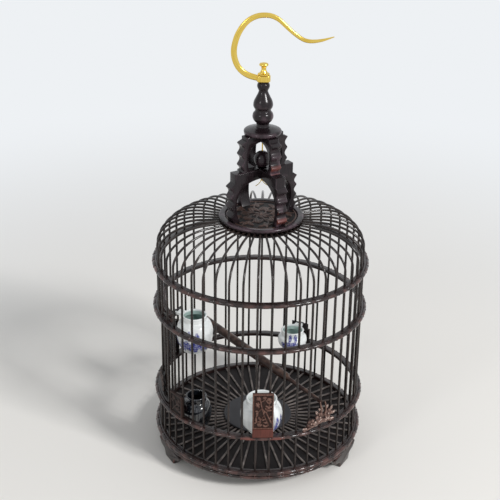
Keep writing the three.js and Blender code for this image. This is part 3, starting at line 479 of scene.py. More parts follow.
# The same carved wood darkened throughout, for the carvings on the shaded left and back of the cage: painted
# shade
carved_wood_painted_shade = carved("carved_wood_in_painted_shade",
                    [(0.0, "#0c0807"), (0.4, "#221714"), (0.75, "#3b2a25"), (1.0, "#5f4940")], 0.42)
medallion_wood = carved("carved_medallion_wood",
                        [(0.0, "#0a0707"), (0.4, "#281a17"), (0.75, "#4d3830"), (1.0, "#82695e")], 0.4)
print("woods with the carved ones:", len(bpy.data.materials))

# %% [markdown]
# ### Glazes and brass
# The pale jars are porcelain: white body, cobalt flowers painted under a clear glaze, and a thin celadon
# wash inside. The grain value carries the paint in its first number and the wash in its second. The dark
# jar has an iron glaze that mirrors the window. The hook is cast brass, filed and buffed to a high gloss,
# with faint lines along the buffing.

# %% Porcelain, iron glaze and brass
def porcelain_finish():
    """White mixed towards celadon by the wash and towards cobalt by the paint, which noise breaks up."""
    material, tree = new_material("painted_porcelain")
    data = add(tree, "ShaderNodeAttribute", attribute_name="grain")
    split = add(tree, "ShaderNodeSeparateXYZ", {0: data.outputs["Vector"]})
    density = remap(tree, object_noise(tree, 2.2 * MM, 2.0), 0.3, 0.6, 0.45, 1.0)
    paint = combine(tree, "MULTIPLY", split.outputs[0], density, True)
    washed = mix(tree, split.outputs[1], colour("#f6f9f8"), "#b4ccc6")
    surface(tree, {"Base Color": mix(tree, paint, washed, "#2b3192"), "Roughness": 0.16, "IOR": 1.5,
                   "Coat Weight": 0.6, "Coat Roughness": 0.05})
    return material


def iron_glaze_finish():
    """Near black, breaking to brown in patches, under a clear mirror coat."""
    material, tree = new_material("iron_glaze")
    tone = add(tree, "ShaderNodeValToRGB", {0: object_noise(tree, 9 * MM, 3.0)},
               [(0.35, "#0b0c0f"), (0.75, "#20242b")])
    surface(tree, {"Base Color": tone.outputs[0], "Roughness": 0.12, "IOR": 1.52, "Coat Weight": 1.0,
                   "Coat Roughness": 0.03})
    return material


def brass_finish():
    """Yellow metal; noise drawn out along the grain gives buffing lines in the gloss and the surface."""
    material, tree = new_material("buffed_brass")
    lines = drawn_noise(tree, 1 / 0.03, 0.5 * MM, 2.0)
    tone = add(tree, "ShaderNodeValToRGB", {0: lines}, [(0.3, "#d8b243"), (0.7, "#ecd071")])
    surface(tree, {"Base Color": tone.outputs[0], "Metallic": 1.0,
                   "Roughness": remap(tree, lines, 0.3, 0.7, 0.14, 0.26),
                   "Normal": raised(tree, 0.15, 0.05 * MM, lines)})
    return material


porcelain = porcelain_finish()
iron_glaze = iron_glaze_finish()
brass = brass_finish()
print("finishes:", len(bpy.data.materials))

# %% [markdown]
# ## The wall
# A cage rod is a split stick pulled through a drawplate, so it is round but never quite even. Each one runs
# straight up the wall, bends over the shoulder in a quarter of an ellipse and runs level to the top plate.
# It could be a curve object with a bevel; a swept circle is used, because the grain can then follow it.

# %% Rods
STRAIGHT_STEPS = 14
BEND_STEPS = 22
LEVEL_STEPS = 5
UNEVEN = 0.05  # share of the radius


def rod_path(bottom):
    """(radius, height): a straight rise, then radius = flat + run cos(a), height = start + rise sin(a)."""
    a = np.linspace(0, np.pi / 2, BEND_STEPS)
    run = DOME_FLAT + (ROD_CIRCLE - DOME_FLAT) * np.cos(a)
    bend = np.stack([run, BEND_START + DOME_RISE * np.sin(a)], -1)
    heights = np.linspace(bottom, BEND_START, STRAIGHT_STEPS)
    rise = np.stack([np.full(STRAIGHT_STEPS, ROD_CIRCLE), heights], -1)
    level = np.stack([np.linspace(DOME_FLAT, RIB_END, LEVEL_STEPS), np.full(LEVEL_STEPS, DOME_TOP)], -1)
    return np.concatenate([rise[:-1], bend, level[1:]])


def side_of(azimuth):
    """Unit vector along the wall, square to the radius."""
    return np.array([math.cos(azimuth), math.sin(azimuth), 0])


def stick(path, side, index, waves, first_grain=0.0):
    """A swept circle whose radius wanders by a few hundredths of itself in two waves along the stick."""
    long_wave, short_wave = (path[:, 2] / (length * MM) for length in waves)
    wander = 1 + UNEVEN * np.sin(long_wave + 2.4 * index) * np.sin(short_wave + index)
    shape = sweep(path, side, circle(ROD_RADIUS * wander), wear=0.6)
    return own_grain(shape, index, first_grain)


def own_grain(shape, index, first_grain=0.0):
    """Moves the grain sideways, so that no two pieces are cut from the same place in the wood."""
    return {**shape, "grain": shape["grain"] + [0.01 * index + first_grain, 0, 0]}


def rod(index, bottom):
    azimuth = FIRST_ROD + index * PITCH
    path = rod_path(bottom)
    return stick(at(path[:, 0], azimuth, path[:, 1]), side_of(azimuth), index, (31, 13))


GROUP_SIZE = 4
DOOR_GROUP = 9
for group in range(ROD_COUNT // GROUP_SIZE):
    node = f"rods_{group + 1:02d}" + ("_upper" if group == DOOR_GROUP else "")
    sticks = [rod(group * GROUP_SIZE + i, span(node)[0]) for i in range(GROUP_SIZE)]
    piece(f"sticks_{group + 1:02d}", sticks, rod_wood, node)

# %% [markdown]
# A hoop is two things in one: a flat inner band, and outside it a carved string that copies bamboo, with a
# barrel from each rod to the next and a raised node with a fine groove where they meet. The string is a
# ring whose section changes size along the way, so one formula gives all forty-eight barrels.

# %% Hoops
BEAD_STEPS = np.array([0, 0.015, 0.03, 0.045, 0.06, 0.08, 0.11, 0.16, 0.24, 0.36, 0.5,
                       0.64, 0.76, 0.84, 0.89, 0.92, 0.94, 0.955, 0.97, 0.985])
STRING_SIDES = 16


def bamboo(t):
    """Share of full size at t from 0 to 1 along a barrel: 0.62 + 0.3 sin(pi t)^0.6, which is blunt like a
    capsule, plus the proud ring of the joint at each end as a bell curve of the distance to it."""
    end = np.minimum(t, 1 - t)
    return 0.62 + 0.3 * np.sin(np.pi * t) ** 0.6 + 0.38 * np.exp(-((end / 0.035) ** 2))


def ring_path(radius, height):
    """Points round a ring at every bead step, beginning and ending at the back."""
    beads = np.arange(ROD_COUNT)[:, None] + BEAD_STEPS[None]
    return at(radius, FIRST_ROD + np.pi + beads.ravel() * PITCH, height)


def beaded_ring(low, high, inner, crest, bare):
    """Band: a cushion section. String: a circle of radius bamboo(t), its centre held so that the rings of
    the joints touch the crest's radius. The bare barrels have lost their stain."""
    half, middle = (high - low) / 2, (high + low) / 2
    string_radius = 0.99 * half
    flat_outer = crest - 1.3 * string_radius
    band = ring_path((inner + flat_outer) / 2, middle)
    string = ring_path(crest - string_radius, middle)
    size = bamboo(np.tile(BEAD_STEPS, ROD_COUNT))
    up = (0, 0, 1)
    section = circle(string_radius * size, STRING_SIDES)
    outward = 0.5 + 0.5 * np.cos(around(STRING_SIDES))
    shine = np.clip(size * 2.2 - 1.2, 0, 1)[:, None] * outward[None]
    worn_off = np.isin(np.repeat(np.arange(ROD_COUNT), len(BEAD_STEPS)), bare)
    shine = shine + worn_off[:, None] * outward[None] ** 2
    return [sweep(band, up, cushion((flat_outer - inner) / 2, half * 0.9, 7, 20), closed=True, wear=0.1),
            sweep(string, up, section, closed=True, wear=shine)]


HOOP_RADII = (131.3 * MM, 142 * MM)
LOWER_RING_RADII = (122 * MM, 140 * MM)
# Inner and crest radius, and the barrels rubbed bare, counted from the back by way of the left side: those
# of the low hoop lie on both sides of the front plaque
HOOPS = {"hoop_shoulder": (HOOP_RADII, (14,)), "hoop_middle": (HOOP_RADII, ()),
         "hoop_low": (HOOP_RADII, (23, 25)), "base_ring_upper": (HOOP_RADII, ()),
         "base_ring_lower": (LOWER_RING_RADII, ())}
for node, (radii, bare) in HOOPS.items():
    piece(node + "_beads", beaded_ring(*span(node), *radii, bare), hoop_wood, node)

# %% [markdown]
# ## The base
# The floor is a thin board with radial slats on it and a dark disc over the middle, where the slats would
# otherwise crowd together. The feet are sawn brackets with hollowed flanks and rubbed edges.

# %% Floor and feet
FLOOR_R = 131 * MM
SLAT_WIDTH = 2.4 * MM
SLAT_HUB = 32 * MM


def flat_disc(radius, low, high, rounding):
    """A turned disc: rounded rim, closed on the axis."""
    a = np.linspace(0, np.pi / 2, 5)
    rim = radius - rounding * (1 - np.sin(a))
    lower = np.stack([rim, low + rounding * (1 - np.cos(a))], -1)
    upper = np.stack([rim[::-1], high - rounding * (1 - np.cos(a[::-1]))], -1)
    rings = np.linspace(0, radius - rounding, 8)[:-1]
    under = np.stack([rings, np.full(len(rings), low)], -1)
    over = np.stack([rings[::-1], np.full(len(rings), high)], -1)
    return lathe(np.concatenate([under, lower, upper, over]))


def slat(index, low, high):
    """A straight bar from the hub to the ring with a low rounded back."""
    azimuth = FIRST_ROD + index * PITCH
    reach = np.linspace(SLAT_HUB, FLOOR_R, 6)
    path = at(reach, azimuth, (low + high) / 2)
    across = cushion(SLAT_WIDTH / 2, (high - low) / 2, 5, 12)
    return own_grain(sweep(path, (0, 0, 1), across, wear=0.7), index)


piece("floor_board", [flat_disc(FLOOR_R, *span("bottom_board"), 0.3 * MM)], floor_wood, "bottom_board")
slats = [slat(i, *span("floor_slats")) for i in range(ROD_COUNT)]
piece("radial_slats", slats, slats_painted_light, "floor_slats")
disc = flat_disc(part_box("floor_disc")[1].x, *span("floor_disc"), 0.7 * MM)
piece("floor_disc_turned", [disc], disc_lacquer, "floor_disc")

FOOT_TOP_HALF = 31 * MM
FOOT_HEIGHT = span("foot_back")[1]
FOOT_THICKNESS = 11 * MM
FOOT_BACK = 126.5 * MM
# Half outline from the end of the sole up the flank: sideways and up, as shares of the top's half width
# and of the height
FOOT_FLANK = [(0.387, 0.0), (0.43, 0.2), (0.5, 0.42), (0.645, 0.5), (0.79, 0.56), (0.9, 0.72), (1.0, 1.0)]


def bracket_foot():
    """The flank as a smooth line, mirrored, made a slab and set behind the crest of the ring."""
    flank = through(FOOT_FLANK, 4) * [FOOT_TOP_HALF, FOOT_HEIGHT]
    both = np.concatenate([flank, (flank * [-1, 1])[::-1]])
    body = slab(drawn_in(both), FOOT_THICKNESS, 2.2 * MM, 6)
    return shift(body, (0, -(FOOT_BACK + FOOT_THICKNESS / 2), 0))


for node, degrees in (("foot_front_left", -60), ("foot_front_right", 60), ("foot_back", 180)):
    piece(node + "_rubbed", [turn(bracket_foot(), math.radians(degrees))], hoop_wood, node)

# %% [markdown]
# ## The crown
# The crown is cut from thick boards. Each tier crosses two of them, and each board has an arch inside and
# a row of scallops outside that meet in points. A turned plate carries it, and a turned collar and finial
# close it. Turned pieces are profiles swung round the axis.

# %% Top plate and medallion
PLATE_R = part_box("top_plate")[1].x
PLATE_HOLE = 29 * MM
RECESS_R = 46.5 * MM
RECESS_DEPTH = 3 * MM
hub_low, plate_top = span("top_plate")
FLANGE = DOME_TOP + ROD_RADIUS + 0.3 * MM


def rolled(radius, height, size, first, last, steps=6):
    """Quarter of a circle in the profile, from angle first to last in degrees, about (radius, height)."""
    a = np.radians(np.linspace(first, last, steps))
    return np.stack([radius + size * np.cos(a), height + size * np.sin(a)], -1)


roll = 1.7 * MM
rebate = 49.3 * MM
plate_profile = np.concatenate([
    [[PLATE_HOLE, hub_low], [rebate, hub_low], [rebate, FLANGE]],
    rolled(PLATE_R - roll, FLANGE + roll, roll, -90, 0),
    rolled(PLATE_R - roll, plate_top - roll, roll, 0, 90),
    rolled(RECESS_R + roll, plate_top - roll, roll, 90, 180),
    [[RECESS_R, plate_top - RECESS_DEPTH], [PLATE_HOLE, plate_top - RECESS_DEPTH], [PLATE_HOLE, hub_low]],
])
# Wear on the rolled rim and the edge of the recess: rubbing, and in the blackwood's grey-lilac also a painted
# highlight on the rim
plate_wear = np.concatenate([[0, 0, 0], np.full(6, 0.3), np.full(6, 0.8), np.full(6, 0.5), [0, 0, 0]])
piece("top_plate_turned", [lathe(plate_profile, 128, plate_wear)], blackwood, "top_plate")

CLAMP_HOLE, CLAMP_BELOW, CLAMP_ABOVE = 35 * MM, 52.6 * MM, 54 * MM
low, high = span("clamp_ring")
clamp_profile = [[CLAMP_HOLE, low], [CLAMP_BELOW, low], [CLAMP_ABOVE, high], [CLAMP_HOLE, high],
                 [CLAMP_HOLE, low]]
piece("clamp_ring_turned", [lathe(clamp_profile)], blackwood, "clamp_ring")

# %% [markdown]
# Carving in low relief is a height above a flat ground. Three strokes make all of it: a stem, a leaf with
# a midrib and a five-petalled blossom. Each is a formula over the whole field, and the carving at a point
# is the highest stroke there. The same height also colours the wood.

# %% Strokes of low relief
def stem_height(x, y, points, width):
    """Distance d to the nearest stretch of the line through the points; height = sqrt(1 - (d/width)^2)."""
    p = np.asarray(points, float)
    a, b = p[:-1], p[1:]
    step = b - a
    place = np.stack([x, y], -1)[..., None, :]
    t = np.clip(((place - a) * step).sum(-1) / (step**2).sum(-1), 0, 1)
    distance = np.linalg.norm(place - (a + t[..., None] * step), axis=-1).min(-1)
    return 0.65 * np.sqrt(np.clip(1 - (distance / width) ** 2, 0, None))


def leaf_height(x, y, base, degrees, length, width):
    """Along the leaf t runs 0 to 1; its half width is width x sin(pi t)^0.8, and a midrib is cut in."""
    c, s = math.cos(math.radians(degrees)), math.sin(math.radians(degrees))
    t = ((x - base[0]) * c + (y - base[1]) * s) / length
    across = -(x - base[0]) * s + (y - base[1]) * c
    half = width * np.clip(np.sin(np.pi * np.clip(t, 0, 1)), 1e-6, None) ** 0.8
    share = np.abs(across) / half
    body = np.sqrt(np.clip(1 - share**2, 0, None))
    rib = 0.35 * np.exp(-((across / (0.12 * width)) ** 2))
    return np.where((t > 0) & (t < 1), np.clip(0.75 * body - rib, 0, None), 0)


def blossom_height(x, y, centre, radius, petals=5):
    """Petal edge at radius x (0.7 + 0.3 |cos(petals a / 2)|); cupped petals, deep gaps, a round heart."""
    dx, dy = x - centre[0], y - centre[1]
    r = np.hypot(dx, dy)
    lobe = np.abs(np.cos(petals * np.arctan2(dy, dx) / 2))
    share = r / (radius * (0.7 + 0.3 * lobe))
    petal = np.clip(1 - share**4, 0, None) ** 0.5 * (0.35 + 0.45 * lobe**0.5) * (0.6 + 0.4 * share)
    heart = np.sqrt(np.clip(1 - (r / (0.24 * radius)) ** 2, 0, None))
    return np.maximum(petal, heart * 0.95)


def carving(x, y, stems, leaves, blossoms):
    """The highest stroke at each point."""
    height = np.zeros(np.shape(x))
    for stroke, chosen in ((stem_height, stems), (leaf_height, leaves), (blossom_height, blossoms)):
        for values in chosen:
            height = np.maximum(height, stroke(x, y, *values))
    return height


CROWN_TURN = math.radians(33)
MEDALLION_R = 46.2 * MM
# The ground kept clear for the crown's feet: half its width and where it starts, in millimetres
FOOT_BAND, FOOT_BAND_START = 7.6, 33
RIM_MIDDLE, RIM_HALF = 44.6, 1.3  # mm, the raised rim
MEDALLION_SPRAYS = 8
MEDALLION_GROUND = 0.9 * MM  # thickness left under the deepest cut


def medallion_strokes():
    """Eight sprays round an eight-petalled heart: five leaves and a bent stem for each, in millimetres."""
    stems, leaves = [], []
    for k in range(MEDALLION_SPRAYS):
        a = 2 * math.pi * (k + 0.5) / MEDALLION_SPRAYS + CROWN_TURN
        c, s, degrees = math.cos(a), math.sin(a), math.degrees(a)
        leaves += [((12 * c, 12 * s), degrees + 38, 17, 4.6), ((13 * c, 13 * s), degrees - 34, 16, 4.2),
                   ((31 * c, 31 * s), degrees + 75, 13, 3.6), ((33 * c, 33 * s), degrees - 65, 12, 3.4),
                   ((24 * c, 24 * s), degrees, 17, 3.8)]
        bend = (26 * math.cos(a + 0.2), 26 * math.sin(a + 0.2))
        stems += [([(9 * c, 9 * s), bend, (42 * c, 42 * s)], 1.3)]
    return stems, leaves, [((0.0, 0.0), 11.0, MEDALLION_SPRAYS)]


def medallion_shell(low, high):
    """Carved top, flat underside and rim: rings of points out over the carving and back underneath."""
    rings, spokes = 74, 360
    radius = np.linspace(0.5 * MM, MEDALLION_R, rings)[:, None]
    angle = around(spokes)[None]
    x, y = radius * np.cos(angle), radius * np.sin(angle)
    height = carving(x / MM, y / MM, *medallion_strokes())
    rim = np.clip(1 - ((radius / MM - RIM_MIDDLE) / RIM_HALF) ** 2, 0, None) ** 0.5
    height = np.maximum(height, 0.7 * rim)
    for k in range(4):
        a = CROWN_TURN + k * math.pi / 2
        along, across = x * math.cos(a) + y * math.sin(a), y * math.cos(a) - x * math.sin(a)
        height = np.where((along > FOOT_BAND_START * MM) & (np.abs(across) < FOOT_BAND * MM), 0, height)
    top = np.stack([x, y, low + MEDALLION_GROUND + height * (high - low - MEDALLION_GROUND)], -1)
    under = np.stack([x, y, np.full(x.shape, low)], -1)[::-1]
    faces = grid_faces(2 * rings, spokes, False, True, True)
    return part(np.concatenate([top, under]), faces, None, np.concatenate([height, height * 0]))


piece("medallion_carved", [medallion_shell(*span("medallion"))], medallion_wood, "medallion")

# %% [markdown]
# The crown's boards: the outer edge is a row of scallops, each a rounded hollow between two points. The
# points are rubbed blunt, and one edge has lost its stain low down, where the hand goes. The board is a
# slab, so its edges are rounded like the real ones.

# %% Crown boards
CROWN_BOARD = 14 * MM
CROWN_ROUND = 1.6 * MM
SMALL_SHARE = 0.5  # the arches and the top are rounded less
ARCH_POWER = 0.8
# Half widths, heights and reaches in millimetres; scallops is their number on one edge
LOWER_TIER = {"arch_half": 41, "arch_foot": 35, "arch_middle": 22, "arch_rise": 54.5, "foot": 3.5,
              "top": 17.5, "ledge": 4.5, "hollow": 45.5, "cusp": 5, "scallops": 3.5, "foot_reach": 44,
              "top_reach": 43.5}
UPPER_TIER = {"arch_half": 25, "arch_foot": 21, "arch_middle": 12, "arch_rise": 36.5, "foot": 1.5,
              "top": 7.5, "ledge": 3, "hollow": 29.5, "cusp": 5, "scallops": 2.5, "foot_reach": 32,
              "top_reach": 27}


def arch_line(tier, low, small):
    """Half of the opening from the foot up: a parabola out to the widest place, then the arch, whose two
    coordinates are cosine and sine to the power 0.8, so that its shoulders are squarer than an ellipse's."""
    down = 1 - np.linspace(0, 1, 13)[:-1]
    lean = tier["arch_half"] - tier["arch_foot"]
    widest, middle = tier["arch_half"] + small, tier["arch_middle"]
    leg = np.stack([widest - lean * down**2, low + middle * (1 - down)], -1)
    a = np.linspace(0, np.pi / 2, 33)[:-1]
    rise = tier["arch_rise"] - middle + small
    arch = np.stack([widest * np.cos(a) ** ARCH_POWER, low + middle + rise * np.sin(a) ** ARCH_POWER], -1)
    leg[0, 1] += 0.2 * small
    return np.concatenate([leg, arch, [[0, low + tier["arch_rise"] + small]]])


def crown_outline(tier, low, high, inset):
    """Right edge: reach = hollow + cusp (1.2 - |sin|), with blunt points; mirrored for the left edge; the
    opening closes the outline. Edges come in by the inset, the arch and the top by half of it."""
    t = np.linspace(0, 1, int(tier["scallops"] * 20) + 1)
    wave = np.sqrt(np.sin(np.pi * tier["scallops"] * (1 - t)) ** 2 + 0.1)
    bottom, top = low + tier["foot"] + 0.2 * inset, high - tier["top"]
    edge = np.stack([tier["hollow"] + tier["cusp"] * (1.2 - wave), bottom + (top - bottom) * t], -1)
    small = SMALL_SHARE * inset
    right = np.concatenate([[[tier["foot_reach"], low + 0.1 * inset]], edge,
                            [[tier["top_reach"], top + tier["ledge"]], [tier["top_reach"], high - small]]])
    right = right - [inset, 0]
    arch = arch_line(tier, low, small)
    return np.concatenate([right, (right * [-1, 1])[::-1], arch[:-1] * [-1, 1], arch[::-1]]) * MM


def crown_board(tier, low, high, azimuth, rubbed):
    """The slab in its place. Points and rounded edges are rubbed a little, and their grey-lilac is also a
    painted highlight; the edge on the rubbed side, where the hand goes, has lost its stain in its lower part."""

    def outline_at(inset):
        return crown_outline(tier, low / MM, high / MM, inset / MM)

    board = slab(outline_at, CROWN_BOARD, CROWN_ROUND, 6)
    x, z = board["points"][:, 0], board["points"][:, 2]
    outer = np.clip((np.abs(x) - tier["hollow"] * MM) / (tier["cusp"] * MM) + 0.4, 0, 1)
    height = (z - low) / (high - low)
    handled = outer * (x * rubbed > 0) * np.clip(1.4 - 2.6 * height, 0, 1)
    return turn({**board, "wear": 0.3 * board["wear"] + 0.3 * outer + 1.4 * handled}, azimuth)


for tier, name in ((LOWER_TIER, "lower_arch"), (UPPER_TIER, "upper_arch")):
    spans = [span(f"{name}_{letter}") for letter in "ab"]
    low, high = min(s[0] for s in spans), max(s[1] for s in spans)
    for letter, azimuth, rubbed in (("a", CROWN_TURN, 0), ("b", CROWN_TURN + np.pi / 2, -1)):
        board = crown_board(tier, low, high, azimuth, rubbed)
        piece(f"{name}_{letter}_carved", [board], blackwood, f"{name}_{letter}")

# %% [markdown]
# ### Bead, wire, collar and finial
# The loose bead hangs on a wire inside the crossed arches, with the wire's ends splayed under the lower
# arch. Collar and finial are the turner's work again.

# %% Turned parts above the crown
BEAD_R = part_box("crown_bead")[1].x
BEAD_HOLE = 1.3 * MM
WIRE_R = 0.8 * MM
# (radius, height above the underside) in millimetres, followed by a smooth line
COLLAR = [(20.8, 0), (22.6, 0.2), (23.5, 1.4), (23.8, 3.1), (23.2, 4.7), (21.4, 5.8), (17.5, 6.9), (13.4, 8),
          (10, 8.7)]
FINIAL = [(8.7, 0), (8.1, 2.4), (8.4, 5), (11.2, 8), (13.1, 12.4), (12.4, 17), (10.2, 20.1), (10.2, 22.6),
          (11.9, 25.6), (12.3, 29), (11.2, 33.6), (8.9, 38.2), (6.5, 43.2), (5.8, 46), (7, 48.8),
          (7.9, 51.6), (7.4, 54.6), (5.6, 56.7)]


def turned(profile, low, high):
    """A smooth profile closed on the axis at both ends; wear follows how far out the profile stands, so the
    outermost bulges take the grey-lilac of rubbing and of a painted highlight.
    """
    share = (high - low) / (profile[-1][1] * MM)
    line = through(profile, 5) * MM * [1, share] + [0, low]
    closed = np.concatenate([[[0, line[0, 1]]], line, [[0, line[-1, 1]]]])
    return lathe(closed, wear=np.clip((closed[:, 0] / closed[:, 0].max() - 0.75) * 2.6, 0, 0.6))


for node, profile in (("collar", COLLAR), ("finial", FINIAL)):
    piece(node + "_turned", [turned(profile, *span(node))], blackwood, node)

bead_middle = sum(span("crown_bead")) / 2
hole_angle = math.asin(BEAD_HOLE / BEAD_R)
a = np.linspace(hole_angle, np.pi - hole_angle, 25)
ball = np.stack([BEAD_R * np.sin(a), bead_middle - BEAD_R * np.cos(a)], -1)
bead = lathe(np.concatenate([ball, ball[:1]]), 64, 0.25)
piece("bead_turned", [bead], blackwood, "crown_bead", body="bead")

low, high = span("bead_wire")
wire_path = [(0, 0, low), (0, 0, (low + high) / 2), (0, 0, high)]
piece("wire_drawn", [sweep(wire_path, (0, 1, 0), circle(WIRE_R, 16))], brass, "bead_wire")
# One of the wire's two ends in millimetres from its foot; the other is its mirror image
WIRE_TAIL = [(0.6, 0, 3), (1.6, 0, -1), (4.6, 0.8, -4.6), (7.8, 1.6, -6.8)]
WIRE_TAIL_R = 0.45 * MM
for sign, name in ((-1, "wire_tail_left"), (1, "wire_tail_right")):
    tail = np.array(WIRE_TAIL) * [sign * MM, sign * MM, MM] + [0, 0, low]
    piece(name, [sweep(through(tail, 5), (0, 1, 0), circle(WIRE_TAIL_R, 10))], brass)

# %% [markdown]
# ### Hook
# The hook is one cast bar, broad at the eye and thin at the tip. The chosen points give its middle line and
# its width, and a smooth line through them gives the rest. Its faces are flat with rounded edges, so the
# section is a cushion. It turns on a round pin whose wide head carries the cage.

# %% Hook and pin
HOOK_THICKNESS = 5 * MM
HOOK_BASE = 511 * MM
# (sideways, above the base, width) in millimetres
HOOK_LINE = [(-6, 4.6, 7), (-17, 7.6, 7.4), (-25.5, 12.3, 7.2), (-32, 19.8, 7.2), (-35.7, 29.7, 7.4),
             (-36.5, 39.6, 7.4), (-34.8, 49.4, 7.3), (-31.3, 59.3, 7.2), (-25.4, 69, 6.9), (-18, 76.3, 6.6),
             (-8.7, 80.8, 6.4), (1, 82, 6.2), (9.4, 80.8, 5.9), (17.8, 76.5, 5.6), (26.2, 69, 5.3),
             (34.6, 61.6, 5.1), (43, 55.5, 4.9), (49, 52.4, 4.7), (56.3, 51.2, 4.4), (64.7, 51.8, 3.8),
             (73, 53.6, 2.8), (84, 57.1, 1)]
EYE_HALF_LENGTH = 8.5 * MM
EYE_HALF_DEPTH = 6 * MM
EYE_HOLE = 2.7 * MM
EYE_HEIGHT = 8.5 * MM
EYE_SOFT = 1.4 * MM
EYE_SIDES = 72


def hook_bar():
    """Section at each point: half the width across, half the thickness aside, both less towards the tip."""
    line = through(HOOK_LINE, 6) * MM
    path = np.stack([line[:, 0], np.zeros(len(line)), HOOK_BASE + line[:, 1]], -1)
    aside = np.minimum(HOOK_THICKNESS / 2, 0.2 * MM + 0.5 * line[:, 2])
    shape = cushion(1, 1, 3.4, 24)
    section = np.stack([shape[None, :, 0] * line[:, None, 2] / 2, shape[None, :, 1] * aside[:, None]], -1)
    return sweep(path, (0, 1, 0), section)


def hook_eye(low):
    """A cushion-shaped block with a round hole: rings out over the top, down and back to the hole."""
    outer = cushion(EYE_HALF_LENGTH, EYE_HALF_DEPTH, 3.2, EYE_SIDES)
    angle = np.arctan2(outer[:, 1], outer[:, 0])
    inner = EYE_HOLE * np.stack([np.cos(angle), np.sin(angle)], -1)
    a = np.linspace(0, np.pi / 2, 5)
    shares = 1 - EYE_SOFT * (1 - np.cos(a)) / EYE_HALF_DEPTH
    heights = EYE_HEIGHT - EYE_SOFT * (1 - np.sin(a))
    rings = [(inner, EYE_HEIGHT)] + [(outer * s, h) for s, h in zip(shares[::-1], heights[::-1])]
    rings += [(outer * s, EYE_HEIGHT - h) for s, h in zip(shares, heights)] + [(inner, 0.0)]
    grid = [np.column_stack([ring, np.full(EYE_SIDES, low + h)]) for ring, h in rings]
    return part(np.array(grid), grid_faces(len(grid), EYE_SIDES, True, True))


piece("hook_cast", [hook_bar(), hook_eye(span("hook")[0])], brass, "hook", body="hook", sharp=50)

# (radius, height above the foot) in millimetres
PIN = [(0, 0), (2.3, 0), (2.3, 20.6), (7, 20.8), (7.4, 21.4), (7.3, 22.3), (6.6, 22.8), (4.7, 23.4),
       (4.1, 25), (3.2, 26.2), (2.9, 28.4), (3.2, 30.4), (4.4, 31.8), (5.6, 32.6), (5.7, 33.8), (4.9, 34.9),
       (2.6, 35.6), (1, 35.7), (0, 35.7)]
low, high = span("hook_pin")
pin = np.array(PIN) * MM * [1, (high - low) / (PIN[-1][1] * MM)] + [0, low]
piece("hook_pin_turned", [lathe(pin, 48)], brass, "hook_pin", sharp=45)

# %% [markdown]
# ## Perch and door
# The perch is a thick bar, fine enough at its front end to pass between two rods. The sliding door stands
# just inside the wall: two curved rails with rods.

# %% Perch
PERCH_AZIMUTH = FIRST_ROD + 5 * PITCH
PERCH_Z = sum(span("perch")) / 2
PERCH_R = 5.8 * MM
PERCH_NECK_R = 2.8 * MM
PERCH_SHOULDER = 64 * MM
PERCH_REACH = 136 * MM


def perch_bar():
    """Radius along the bar: blunt back end, full thickness, a soft step, and a fine neck."""
    back = PERCH_REACH - np.array([0, 0.3, 1.0, 2.0]) * MM
    bar = np.linspace(PERCH_REACH - 4 * MM, -40 * MM, 22)
    shoulder = -PERCH_SHOULDER + np.array([18, 10, 5, 2.5, 1, 0.2, -0.4, -1.4]) * MM
    neck = -np.linspace(PERCH_SHOULDER + 6 * MM, PERCH_REACH - 1 * MM, 10)
    y = np.concatenate([back, bar, shoulder, neck, [-PERCH_REACH]])
    step = 1 / (1 + np.exp(-(y + PERCH_SHOULDER) / (0.9 * MM)))
    radius = PERCH_NECK_R + (PERCH_R - PERCH_NECK_R) * step
    radius = radius * (1 + 0.012 * np.sin(y / (9 * MM)))
    radius[[0, -1]] -= 0.6 * MM
    radius[1] -= 0.25 * MM
    path = np.stack([np.zeros(len(y)), y, np.full(len(y), PERCH_Z)], -1)
    section = circle(radius, 28)
    # Wear rises towards the top of the bar: rubbing where the bird sits, and a painted highlight along the
    # top
    worn = np.clip(section[..., 1] / radius[:, None] * 1.6 - 0.5, 0, 1)
    return sweep(path, (0, 0, 1), section, wear=worn)


piece("perch_shaped", [turn(perch_bar(), PERCH_AZIMUTH)], perch_wood, "perch")

# %% [markdown]
# Curved rails are swept along an arc of the door's circle, and the rods of the door stand on them. The sill
# is a rail too; the four short rods under the door hang from it.

# %% Door
DOOR_CIRCLE = 127.6 * MM
DOOR_AZIMUTH = FIRST_ROD + 37.5 * PITCH
DOOR_HALF = math.radians(17.975)
DOOR_RAIL_HALF = 2.8 * MM
RAIL_STEPS = 40
RAIL_END = 0.86  # size of a rail's section at its two ends
DOOR_OFFSETS = [-16.875, -11.25, -3.75, 3.75, 11.25, 16.875]  # degrees; the sill has the inner four
SILL_HALF = math.radians(17.8)


def curved_rail(radius, half_width, low, high, half_angle):
    """A cushion section swept along an arc in front, to be turned into place."""
    azimuth = np.linspace(-half_angle, half_angle, RAIL_STEPS)
    path = at(radius, azimuth, (low + high) / 2)
    section = cushion(half_width, (high - low) / 2, 6, 20)
    ends = np.ones(RAIL_STEPS)
    ends[[0, -1]] = RAIL_END
    return sweep(path, (0, 0, 1), section[None] * ends[:, None, None], wear=0.3)


def upright_rod(radius, degrees, low, high, index):
    """A short round stick standing on the circle of the given radius."""
    path = at(radius, math.radians(degrees), np.linspace(low, high, 12))
    return stick(path, (1, 0, 0), index, (27, 11), 0.7)


SILL_CIRCLE, SILL_RAIL_HALF, SILL_THICKNESS = 130.4 * MM, 5.6 * MM, 2 * MM
low, high = span("door_sill")
sill = curved_rail(SILL_CIRCLE, SILL_RAIL_HALF, high - SILL_THICKNESS, high, SILL_HALF)
short = [upright_rod(ROD_CIRCLE, d, low, high - SILL_THICKNESS / 2, i)
         for i, d in enumerate(DOOR_OFFSETS[1:-1])]
piece("door_sill_bent", [turn(p, DOOR_AZIMUTH) for p in [sill, *short]], rod_wood, "door_sill")

